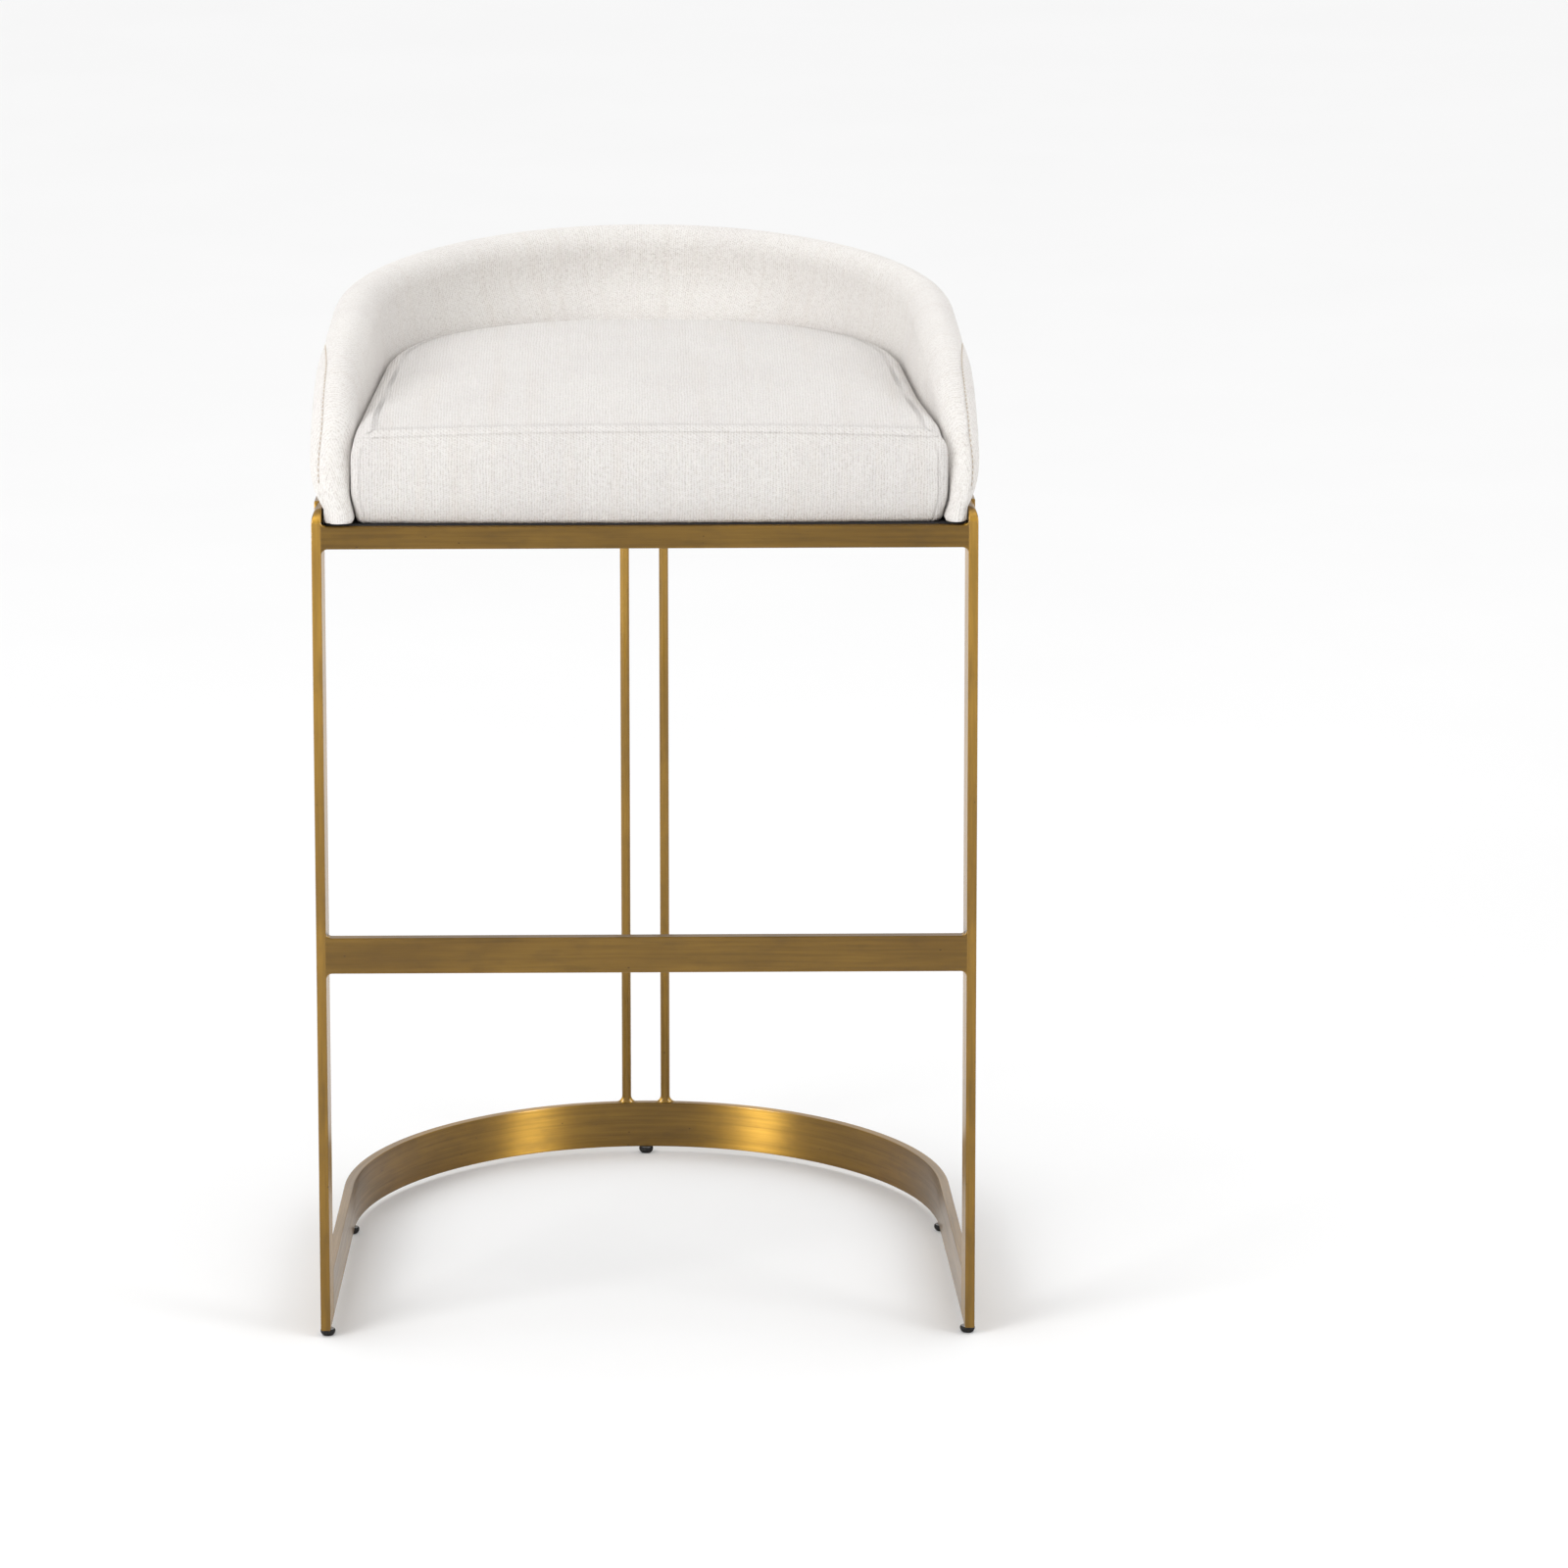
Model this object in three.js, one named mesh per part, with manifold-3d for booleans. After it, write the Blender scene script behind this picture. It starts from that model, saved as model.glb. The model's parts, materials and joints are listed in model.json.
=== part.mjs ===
// Bar stool with a footrest: a brass-finished flat-bar frame carries a box cushion inside a low
// upholstered barrel back. Millimetres, +Z up, +Y towards the back. The origin is on the floor, under
// the middle of the stool. Inside the file, depths are counted from the front of the legs.
import * as THREE from "three";
import { mergeVertices } from "three/addons/utils/BufferGeometryUtils.js";
import Module from "manifold-3d";

const wasm = await Module();
wasm.setup();

// ---- Driving dimensions ----

// Plan outline shared by the base band, the seat band and the back.
const WIDTH = 540;
const DEPTH = 560;
const SIDE_LENGTH = 296;
const SIDE_TAPER = 0.039;
const REAR_RADIUS = 238.4;

// Frame.
const BAR = 8;
const LEG_DEPTH = 40;
const FLOOR_GAP = 6;
const BASE_BAND_HEIGHT = 40;
const RAIL_Z = 666;
const RAIL_HEIGHT = 18;
const SEAT_BAND_TOP = 698;
const FOOTREST_Z = 311;
const FOOTREST_HEIGHT = 30;
const FOOTREST_THICKNESS = 10;
const WELD_FILLET = 3.2;
const LEG_TOP_ROUND = 6;
const ROD_RADIUS = 3.75;
const ROD_SPACING = 34;
const ROD_COLLAR_HEIGHT = 3;
const ROD_SETBACK = 0.6;

// Floor glides.
const GLIDE_RADIUS = 6.2;
const GLIDE_FLAT = 3.6;
const GLIDE_DOME = { bottomRadius: 5, bottomHeight: 1, topHeight: 3.2 };
const PAD_FLOOR = 2;
const PAD_SIDES = 16;
const STUD_RADIUS = 2;
const STUD_TOP = 22;
const GLIDE_FRONT = 10;
const GLIDE_MIDDLE = 307;
const GLIDE_INSET = 5.2;

// The rear glide stands out behind the base band.
const REAR_OVERHANG = GLIDE_RADIUS - GLIDE_INSET;

// Air left between pieces that touch.
const GAP = 0.3;

// Seat base.
const STRAP_THICKNESS = 3;
const STRAP_WIDTH = 30;
const STRAP_DEPTHS = { front: 150, rear: 400 };
const SEAT_SCREW_X = 120;
const CLOTH_THICKNESS = 0.8;
const CLOTH_INSET = 13;
const CLOTH_Z = RAIL_Z + STRAP_THICKNESS + GAP;
const BOARD_INSET = 9.5;
const BOARD_Z = CLOTH_Z + CLOTH_THICKNESS + GAP;
const BOARD_TOP = 685;
const SEAT_Z = 685.4;

// Fixings: radii, and heights above the floor.
const SEAT_SCREW = { head: 5.5, headHeight: 3.3, shank: 3, top: 682 };
const TEE_NUT = { barrel: 4.2, flange: 9, flangeHeight: 1.2, bottom: 673 };
const BACK_SCREW = { head: 4, headHeight: 3, shank: 2, top: 712, point: 5 };

// Cushion.
const CUSHION_FRONT = 7;
const CUSHION_SEAM_Z = 761;
const CUSHION_CROWN = 22;
const CROWN_DEPTH = 241;
const CUSHION_BULGE = 4;
const CUSHION_PINCH = 1.5;
const CUSHION_CLEARANCE = 1.5;
const CORNER_RUN = 18;
const COVER = 1.2;

// Back and arms.
const RIM_ARM_Z = 812;
const RIM_REAR_Z = 834;
const ARM_RUN = 185;
const ARM_ROUNDNESS = 2.2;
const RIM_HEIGHT = 18;
const ARM_TUCK = 9.5;
const ARM_BULGE = 2;
const BULGE_HEIGHT = 50;
const LEAN_START_Z = 757;
const NOSE_RUN = 3;
const NOSE_ROUND = 14;
const NOSE_END = 34;
const CORE_INSET = 15.8;
const CORE_THICKNESS = 8;
const CORE_START = 22;
const CORE_BELOW_RIM = 14;

// Thickness of the padding beside the cushion and at the rim, at the front of the arms and what
// it gains per millimetre along the side, and the extra behind the cushion.
const ARM_PADDING = { seat: 32, seatGain: 0.03, rim: 31, rimGain: 0.0125 };
const REAR_PADDING = { extra: 27, startRun: 400 };

// ---- Materials ----

function material(color, roughness, metalness) {
  return new THREE.MeshStandardMaterial({ color, roughness, metalness });
}

const brass = material(0x8a6d35, 0.35, 1);
const blackPlastic = material(0x15130f, 0.55, 0);
const steel = material(0x9a9a98, 0.35, 1);
const plywood = material(0xc9a878, 0.7, 0);
const foam = material(0xe8dfb8, 0.95, 0);
const fabric = material(0xe8e4df, 0.9, 0);
const blackCloth = material(0x1b1b1c, 0.95, 0);

// ---- Plan outline ----

// Each side runs straight, turns on a wide shoulder arc and ends on the rear arc, all tangent.
const sideNormal = new THREE.Vector2(1, SIDE_TAPER).normalize();
const sideEnd = new THREE.Vector2(WIDTH / 2 - SIDE_TAPER * SIDE_LENGTH, SIDE_LENGTH);
const rearCentre = new THREE.Vector2(0, DEPTH - REAR_RADIUS);
const rearToSide = sideEnd.clone().sub(rearCentre);
const shoulderRadius =
  (rearToSide.lengthSq() - REAR_RADIUS ** 2) / (2 * (rearToSide.dot(sideNormal) - REAR_RADIUS));
const shoulderCentre = sideEnd.clone().addScaledVector(sideNormal, -shoulderRadius);
const shoulderAngle = sideNormal.angle();
const rearAngle = rearCentre.clone().sub(shoulderCentre).angle();
const SIDE_RUN = SIDE_LENGTH * Math.hypot(1, SIDE_TAPER);
const SHOULDER_RUN = shoulderRadius * (rearAngle - shoulderAngle);
const HALF_RUN = SIDE_RUN + SHOULDER_RUN + REAR_RADIUS * (Math.PI / 2 - rearAngle);

// The right half of the outline: point and outward normal at a run measured from the front.
function outlineAt(run) {
  if (run <= SIDE_RUN) {
    const depth = (SIDE_LENGTH * run) / SIDE_RUN;
    return { point: new THREE.Vector2(WIDTH / 2 - SIDE_TAPER * depth, depth), normal: sideNormal };
  }
  const onShoulder = run <= SIDE_RUN + SHOULDER_RUN;
  const centre = onShoulder ? shoulderCentre : rearCentre;
  const radius = onShoulder ? shoulderRadius : REAR_RADIUS;
  const angle = onShoulder
    ? shoulderAngle + (run - SIDE_RUN) / shoulderRadius
    : rearAngle + (run - SIDE_RUN - SHOULDER_RUN) / REAR_RADIUS;
  const normal = new THREE.Vector2(Math.cos(angle), Math.sin(angle));
  return { point: centre.clone().addScaledVector(normal, radius), normal };
}

function insetPoint(run, inset) {
  const { point, normal } = outlineAt(run);
  return point.clone().addScaledVector(normal, -inset);
}

// Runs where the outline needs a point: the ends of the straight side and even steps on the arcs.
function bandRuns(start, steps = 18) {
  const runs = [start];
  for (let i = 0; i <= steps; i++) {
    runs.push(THREE.MathUtils.lerp(SIDE_RUN, HALF_RUN, i / steps));
  }
  return runs;
}

// Closed plan inside the outline, with a straight front edge.
function planShape(inset, frontDepth) {
  const right = bandRuns(frontDepth).map((run) => insetPoint(run, inset));
  const left = right
    .slice(0, -1)
    .reverse()
    .map((p) => new THREE.Vector2(-p.x, p.y));
  return new THREE.Shape([...right, ...left]);
}

// ---- Solids ----

function toSolid(geometry) {
  const bare = geometry.index ? geometry.toNonIndexed() : geometry.clone();
  bare.deleteAttribute("normal");
  bare.deleteAttribute("uv");
  const merged = mergeVertices(bare, 1e-4);
  return new wasm.Manifold(
    new wasm.Mesh({
      numProp: 3,
      vertProperties: merged.attributes.position.array,
      triVerts: new Uint32Array(merged.index.array),
    }),
  );
}

function toGeometry(solid) {
  const { vertProperties, triVerts } = solid.getMesh();
  const geometry = new THREE.BufferGeometry();
  geometry.setAttribute("position", new THREE.BufferAttribute(vertProperties, 3));
  geometry.setIndex(new THREE.BufferAttribute(triVerts, 1));
  geometry.computeVertexNormals();
  return geometry;
}

function cut(geometry, tools) {
  const solid = tools.reduce((body, tool) => body.subtract(toSolid(tool)), toSolid(geometry));
  return toGeometry(solid);
}

function signedVolume(points, triangles) {
  const cross = new THREE.Vector3();
  return triangles.reduce(
    (sum, [a, b, c]) => sum + points[a].dot(cross.crossVectors(points[b], points[c])) / 6,
    0,
  );
}

// Closed body through rings of equal length; flatten gives the plane in which the end caps are filled.
function loft(rings, flatten) {
  const size = rings[0].length;
  const points = rings.flat();
  const triangles = [];
  for (let r = 0; r + 1 < rings.length; r++) {
    for (let i = 0; i < size; i++) {
      const j = (i + 1) % size;
      const [a, b, c, d] = [r * size + i, r * size + j, (r + 1) * size + j, (r + 1) * size + i];
      triangles.push([a, b, c], [a, c, d]);
    }
  }
  const lastRing = (rings.length - 1) * size;
  const first = rings[0].map(flatten);
  const last = rings[rings.length - 1].map(flatten);
  for (const [a, b, c] of THREE.ShapeUtils.triangulateShape(first, [])) {
    triangles.push(THREE.ShapeUtils.isClockWise(first) ? [a, b, c] : [c, b, a]);
  }
  for (const cap of THREE.ShapeUtils.triangulateShape(last, [])) {
    const [a, b, c] = cap.map((index) => index + lastRing);
    triangles.push(THREE.ShapeUtils.isClockWise(last) ? [c, b, a] : [a, b, c]);
  }
  if (signedVolume(points, triangles) < 0) {
    triangles.forEach((triangle) => triangle.reverse());
  }
  const geometry = new THREE.BufferGeometry().setFromPoints(points);
  geometry.setIndex(triangles.flat());
  return geometry;
}

// Section of [inset, height] points carried round the whole outline, from one arm to the other.
function sweepRound(runs, sectionAt) {
  const right = runs.map((run) =>
    sectionAt(run).map(([inset, z]) => {
      const p = insetPoint(run, inset);
      return new THREE.Vector3(p.x, p.y, z);
    }),
  );
  const left = right
    .slice(0, -1)
    .reverse()
    .map((ring) => ring.map((p) => new THREE.Vector3(-p.x, p.y, p.z)));
  return loft([...right, ...left], (p) => new THREE.Vector2(p.x, p.z));
}

function cylinder(radius, bottom, top, sides = 12) {
  const geometry = new THREE.CylinderGeometry(radius, radius, top - bottom, sides);
  geometry.rotateX(Math.PI / 2);
  geometry.translate(0, 0, (top + bottom) / 2);
  return geometry;
}

// Solid of revolution about Z through [radius, height] points.
function lathe(profile, sides = 12) {
  const points = profile.map(([radius, z]) => new THREE.Vector2(radius, z));
  const geometry = new THREE.LatheGeometry(points, sides);
  geometry.rotateX(Math.PI / 2);
  return toGeometry(toSolid(geometry));
}

function extrudeUp(shape, bottom, top) {
  const geometry = new THREE.ExtrudeGeometry(shape, { depth: top - bottom, bevelEnabled: false });
  geometry.translate(0, 0, bottom);
  return geometry;
}

function at(geometry, x, y) {
  return geometry.translate(x, y, 0);
}

function mesh(name, geometry, surface) {
  const piece = new THREE.Mesh(geometry, surface);
  piece.name = name;
  return piece;
}

// ---- Frame ----

// Runs and names of the five glides, with the side of the stool each is on.
const glides = [
  { name: "front_left", run: GLIDE_FRONT, side: -1 },
  { name: "front_right", run: GLIDE_FRONT, side: 1 },
  { name: "middle_left", run: GLIDE_MIDDLE, side: -1 },
  { name: "middle_right", run: GLIDE_MIDDLE, side: 1 },
  { name: "rear", run: HALF_RUN, side: 1 },
].map((glide) => {
  const centre = insetPoint(glide.run, GLIDE_INSET);
  return { ...glide, x: glide.side * centre.x, y: centre.y };
});

function studHole({ x, y }) {
  return at(cylinder(STUD_RADIUS + GAP, FLOOR_GAP - 1, STUD_TOP + 3), x, y);
}

function band(bottom, top) {
  const section = [
    [0, bottom],
    [0, top],
    [BAR, top],
    [BAR, bottom],
  ];
  return sweepRound(bandRuns(LEG_DEPTH + GAP, 24), () => section);
}

function baseBand() {
  const holes = glides.filter((glide) => glide.run > LEG_DEPTH).map(studHole);
  return cut(band(FLOOR_GAP, FLOOR_GAP + BASE_BAND_HEIGHT), holes);
}

// Leg: a flat bar edge-on, drawn in side view and laid along the tapering side.
function leg(side) {
  const profile = new THREE.Shape();
  profile.moveTo(0, FLOOR_GAP);
  profile.lineTo(LEG_DEPTH, FLOOR_GAP);
  profile.lineTo(LEG_DEPTH, SEAT_BAND_TOP);
  profile.lineTo(LEG_TOP_ROUND, SEAT_BAND_TOP);
  profile.absarc(LEG_TOP_ROUND, SEAT_BAND_TOP - LEG_TOP_ROUND, LEG_TOP_ROUND, Math.PI / 2, Math.PI);
  const bar = new THREE.ExtrudeGeometry(profile, { depth: BAR, bevelEnabled: false, curveSegments: 6 });
  bar.rotateX(Math.PI / 2);
  bar.rotateZ(Math.PI / 2);
  bar.translate(-BAR, 0, 0);
  bar.rotateZ(Math.atan(SIDE_TAPER));
  bar.translate(WIDTH / 2, 0, 0);
  const glide = glides.find(({ run, side: glideSide }) => run < LEG_DEPTH && glideSide === 1);
  const drilled = toSolid(cut(bar, [studHole(glide)]));
  return toGeometry(side > 0 ? drilled : drilled.mirror([1, 0, 0]));
}

// Cross bar between the legs with concave weld fillets at its four corners, drawn in front view.
function crossBar(bottom, height, thickness) {
  const end = WIDTH / 2 - BAR - SIDE_TAPER * thickness - GAP;
  const top = bottom + height;
  const r = WELD_FILLET;
  const quarter = Math.PI / 2;
  const outline = new THREE.Shape();
  outline.moveTo(-end, bottom - r);
  outline.absarc(-end + r, bottom - r, r, 2 * quarter, quarter, true);
  outline.absarc(end - r, bottom - r, r, quarter, 0, true);
  outline.absarc(end - r, top + r, r, 4 * quarter, 3 * quarter, true);
  outline.absarc(-end + r, top + r, r, 3 * quarter, 2 * quarter, true);
  const bar = new THREE.ExtrudeGeometry(outline, { depth: thickness, bevelEnabled: false, curveSegments: 5 });
  bar.rotateX(Math.PI / 2);
  bar.translate(0, thickness, 0);
  return bar;
}

// Round rod between the bands with a small weld collar at each end.
function rod() {
  const bottom = FLOOR_GAP + BASE_BAND_HEIGHT + GAP;
  const top = RAIL_Z - GAP;
  const collar = BAR / 2;
  return lathe([
    [0, bottom],
    [collar, bottom],
    [ROD_RADIUS, bottom + ROD_COLLAR_HEIGHT],
    [ROD_RADIUS, top - ROD_COLLAR_HEIGHT],
    [collar, top],
    [0, top],
  ]);
}

// Flat cross strap, cut at both ends to the inside of the seat band.
function strap(depth) {
  const corners = [depth - STRAP_WIDTH / 2, depth + STRAP_WIDTH / 2].map((y) => {
    const onSide = y <= SIDE_LENGTH;
    const radius = shoulderRadius - BAR - GAP;
    const reach = onSide
      ? WIDTH / 2 - SIDE_TAPER * y - (BAR + GAP) * Math.hypot(1, SIDE_TAPER)
      : shoulderCentre.x + Math.sqrt(radius ** 2 - (y - shoulderCentre.y) ** 2);
    return new THREE.Vector2(reach, y);
  });
  const [near, far] = corners;
  const outline = new THREE.Shape([
    new THREE.Vector2(-near.x, near.y),
    near,
    far,
    new THREE.Vector2(-far.x, far.y),
  ]);
  const top = RAIL_Z + STRAP_THICKNESS;
  const bar = extrudeUp(outline, RAIL_Z, top);
  const holes = [-SEAT_SCREW_X, SEAT_SCREW_X].map((x) =>
    at(cylinder(SEAT_SCREW.shank + GAP, RAIL_Z - 1, top + 1), x, depth),
  );
  return cut(bar, holes);
}

// ---- Seat base ----

const seatScrews = Object.entries(STRAP_DEPTHS).flatMap(([row, y]) => [
  { name: `${row}_left`, x: -SEAT_SCREW_X, y },
  { name: `${row}_right`, x: SEAT_SCREW_X, y },
]);

const backScrews = [
  { name: "arm_left", run: 90, side: -1 },
  { name: "arm_right", run: 90, side: 1 },
  { name: "shoulder_left", run: 420, side: -1 },
  { name: "shoulder_right", run: 420, side: 1 },
  { name: "rear", run: HALF_RUN, side: 1 },
].map((screw) => {
  const centre = insetPoint(screw.run, CORE_INSET + CORE_THICKNESS / 2);
  return { ...screw, x: screw.side * centre.x, y: centre.y };
});

function seatBoard() {
  const board = extrudeUp(planShape(BOARD_INSET, BOARD_INSET), BOARD_Z, BOARD_TOP);
  const nutHoles = seatScrews.flatMap(({ x, y }) => [
    at(cylinder(TEE_NUT.barrel + GAP, BOARD_Z - 1, BOARD_TOP + 1), x, y),
    at(cylinder(TEE_NUT.flange + GAP, BOARD_TOP - TEE_NUT.flangeHeight - 2 * GAP, BOARD_TOP + 1), x, y),
  ]);
  const screwHoles = backScrews.flatMap(({ x, y }) => [
    at(cylinder(BACK_SCREW.shank + GAP, BOARD_Z - 1, BOARD_TOP + 1), x, y),
    at(cylinder(BACK_SCREW.head + GAP, BOARD_Z - 1, BOARD_Z + BACK_SCREW.headHeight + 2 * GAP), x, y),
  ]);
  return cut(board, [...nutHoles, ...screwHoles]);
}

function dustCloth() {
  const cloth = extrudeUp(planShape(CLOTH_INSET, CLOTH_INSET), CLOTH_Z, CLOTH_Z + CLOTH_THICKNESS);
  const holes = seatScrews.map(({ x, y }) =>
    at(cylinder(SEAT_SCREW.shank + GAP, CLOTH_Z - 1, CLOTH_Z + CLOTH_THICKNESS + 1), x, y),
  );
  return cut(cloth, holes);
}

function seatScrew() {
  const under = RAIL_Z - GAP;
  const { head, headHeight, shank, top } = SEAT_SCREW;
  return lathe([
    [0, under - headHeight],
    [head * 0.6, under - headHeight],
    [head, under - headHeight * 0.4],
    [head, under],
    [shank, under],
    [shank, top],
    [0, top],
  ]);
}

function teeNut() {
  const { barrel, flange, flangeHeight, bottom } = TEE_NUT;
  const bore = SEAT_SCREW.shank + GAP;
  const under = BOARD_TOP - GAP - flangeHeight;
  return lathe([
    [bore, bottom],
    [barrel, bottom],
    [barrel, under],
    [flange, under],
    [flange, BOARD_TOP - GAP],
    [bore, BOARD_TOP - GAP],
    [bore, bottom],
  ]);
}

function backScrew() {
  const { head, headHeight, shank, top, point } = BACK_SCREW;
  const start = BOARD_Z + GAP;
  return lathe([
    [0, start],
    [head, start],
    [shank, start + headHeight],
    [shank, top - point],
    [0, top],
  ]);
}

// ---- Back and arms ----

// Height of the padded rim over the depth: it springs from the nose of the arm on a
// superellipse, then rises gently to the middle of the back.
function rimHeight(depth) {
  const ahead = Math.max(0, 1 - depth / ARM_RUN);
  const arch = (1 - ahead ** ARM_ROUNDNESS) ** (1 / ARM_ROUNDNESS);
  const back = Math.max(0, (depth - ARM_RUN) / (DEPTH - ARM_RUN));
  return SEAT_Z + (RIM_ARM_Z - SEAT_Z) * arch + (RIM_REAR_Z - RIM_ARM_Z) * back;
}

// Inset of the inner face beside the cushion: the padding thickens towards the middle of the back.
function innerInset(run) {
  const rear = THREE.MathUtils.smoothstep(run, REAR_PADDING.startRun, HALF_RUN);
  return ARM_PADDING.seat + ARM_PADDING.seatGain * run + REAR_PADDING.extra * rear;
}

// Outer face: tucked inside the seat band, then swelling over it at the sides.
function outerInset(run, z) {
  const start = SEAT_BAND_TOP + 1.5;
  const swell = THREE.MathUtils.smoothstep(z, start, start + BULGE_HEIGHT);
  return THREE.MathUtils.lerp(ARM_TUCK, -ARM_BULGE * outlineAt(run).normal.x, swell);
}

// The inner face leans back from the cushion's edge up to the rim.
function leaningInset(run, z) {
  const rimInset = ARM_PADDING.rim + ARM_PADDING.rimGain * run;
  const leanHeight = RIM_ARM_Z - RIM_HEIGHT - LEAN_START_Z;
  const lean = THREE.MathUtils.clamp((z - LEAN_START_Z) / leanHeight, 0, 1);
  return THREE.MathUtils.lerp(innerInset(run), rimInset, lean);
}

// Section of the padded shell; skin shrinks it on all faces, foot is the height of its open bottom.
function shellSection(run, skin, foot) {
  const top = rimHeight(outlineAt(run).point.y) - skin;
  const rim = Math.min(RIM_HEIGHT, (top - SEAT_Z) * 0.45);
  const rimStart = top - rim;
  const nose = THREE.MathUtils.clamp((run - NOSE_RUN) / NOSE_ROUND, 0, 1);
  const width = Math.sqrt(1 - 0.6 * (1 - nose) ** 2);
  const middle = (ARM_TUCK + innerInset(run)) / 2;
  const place = (inset, z) => [middle + (inset - middle) * width, z];
  const outer = [0.12, 0.3, 0.5, 0.8].map((part) => {
    const z = THREE.MathUtils.lerp(SEAT_Z, rimStart, part);
    return place(outerInset(run, z) + skin, z);
  });
  const from = outerInset(run, rimStart) + skin;
  const to = leaningInset(run, rimStart) - skin;
  const arch = [];
  for (let i = 0; i <= 6; i++) {
    const turn = (Math.PI * i) / 6;
    const inset = (from + to) / 2 - ((to - from) / 2) * Math.cos(turn);
    arch.push(place(inset, rimStart + rim * Math.sin(turn)));
  }
  const waist = THREE.MathUtils.lerp(SEAT_Z, rimStart, 0.56);
  return [
    place(ARM_TUCK + skin, foot),
    ...outer,
    ...arch,
    place(leaningInset(run, waist) - skin, waist),
    place(innerInset(run) - skin, foot),
  ];
}

// Stations along the arm, close together at the nose where the rim climbs fast.
function shellRuns(start) {
  const noseSteps = 4;
  const sideSteps = 20;
  const runs = [];
  for (let i = 0; i < noseSteps; i++) {
    runs.push(THREE.MathUtils.lerp(start, NOSE_END, (i / noseSteps) ** 1.5));
  }
  for (let i = 0; i <= sideSteps; i++) {
    runs.push(THREE.MathUtils.lerp(NOSE_END, HALF_RUN, i / sideSteps));
  }
  return runs;
}

function shell(skin, foot) {
  return sweepRound(shellRuns(NOSE_RUN + skin), (run) => shellSection(run, skin, foot));
}

// Bent plywood U; grow widens it into the slot that it needs in the padding.
function backCore(grow, foot) {
  return sweepRound(shellRuns(CORE_START - grow), (run) => {
    const top = rimHeight(outlineAt(run).point.y) - CORE_BELOW_RIM + grow;
    return [
      [CORE_INSET - grow, foot],
      [CORE_INSET - grow, top],
      [CORE_INSET + CORE_THICKNESS + grow, top],
      [CORE_INSET + CORE_THICKNESS + grow, foot],
    ];
  });
}

function drilledCore() {
  const holes = backScrews.map(({ x, y }) =>
    at(cylinder(BACK_SCREW.shank + GAP, SEAT_Z - 1, BACK_SCREW.top + 1), x, y),
  );
  return cut(backCore(0, SEAT_Z), holes);
}

// ---- Cushion ----

// Plan of the cushion: straight front with rounded corners, sides and back along the padded shell.
function cushionPlan(inset) {
  const clear = CUSHION_CLEARANCE + inset;
  const runs = [CORNER_RUN, 110, 200];
  for (let i = 0; i <= 10; i++) {
    runs.push(THREE.MathUtils.lerp(SIDE_RUN, HALF_RUN, i / 10));
  }
  const right = runs.map((run) => insetPoint(run, innerInset(run) + clear));
  const corner = right[0];
  const front = CUSHION_FRONT + inset;
  const reach = corner.y - front;
  const rounded = [0.25, 0.6, 1].map((part) => {
    const turn = (part * Math.PI) / 2;
    return new THREE.Vector2(corner.x - reach * (1 - Math.cos(turn)), corner.y - reach * Math.sin(turn));
  });
  const half = [...rounded.reverse(), ...right];
  const left = half
    .slice(0, -1)
    .reverse()
    .map((p) => new THREE.Vector2(-p.x, p.y));
  return [...half, ...left];
}

// Box cushion: sides pinched at the seams, bulging front, crowned top.
function cushion(skin, foot) {
  const centre = new THREE.Vector2(0, CROWN_DEPTH);
  const rings = [0, 0.12, 0.5, 0.88, 1].map((part) => {
    const level = part === 0 ? foot : THREE.MathUtils.lerp(SEAT_Z, CUSHION_SEAM_Z - skin, part);
    const swell = Math.sin(Math.PI * part);
    return cushionPlan(skin + CUSHION_PINCH * (1 - swell)).map((p) => {
      const atFront = THREE.MathUtils.clamp(1 - (p.y - CUSHION_FRONT) / CORNER_RUN, 0, 1);
      return new THREE.Vector3(p.x, p.y - CUSHION_BULGE * swell * atFront, level);
    });
  });
  const seam = cushionPlan(skin + CUSHION_PINCH);
  for (const part of [0.96, 0.86, 0.7, 0.5, 0.28]) {
    const level = CUSHION_SEAM_Z - skin + CUSHION_CROWN * (1 - part ** 2.6);
    rings.push(
      seam.map((p) => {
        const q = centre.clone().lerp(p, part);
        return new THREE.Vector3(q.x, q.y, level);
      }),
    );
  }
  return loft(rings, (p) => new THREE.Vector2(p.x, p.y));
}

// ---- Assembly ----

const frame = new THREE.Group();
frame.add(
  mesh("base_band", baseBand(), brass),
  mesh("left_leg", leg(-1), brass),
  mesh("right_leg", leg(1), brass),
  mesh("footrest_bar", crossBar(FOOTREST_Z, FOOTREST_HEIGHT, FOOTREST_THICKNESS), brass),
  mesh("front_rail", crossBar(RAIL_Z, RAIL_HEIGHT, BAR), brass),
  mesh("seat_band", band(RAIL_Z, SEAT_BAND_TOP), brass),
);
for (const [name, x] of [["left_rear_rod", -ROD_SPACING / 2], ["right_rear_rod", ROD_SPACING / 2]]) {
  const piece = mesh(name, rod(), brass);
  piece.position.set(x, insetPoint(HALF_RUN, BAR / 2).y - ROD_SETBACK, 0);
  frame.add(piece);
}
for (const [row, depth] of Object.entries(STRAP_DEPTHS)) {
  frame.add(mesh(`${row}_seat_strap`, strap(depth), steel));
}

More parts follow.
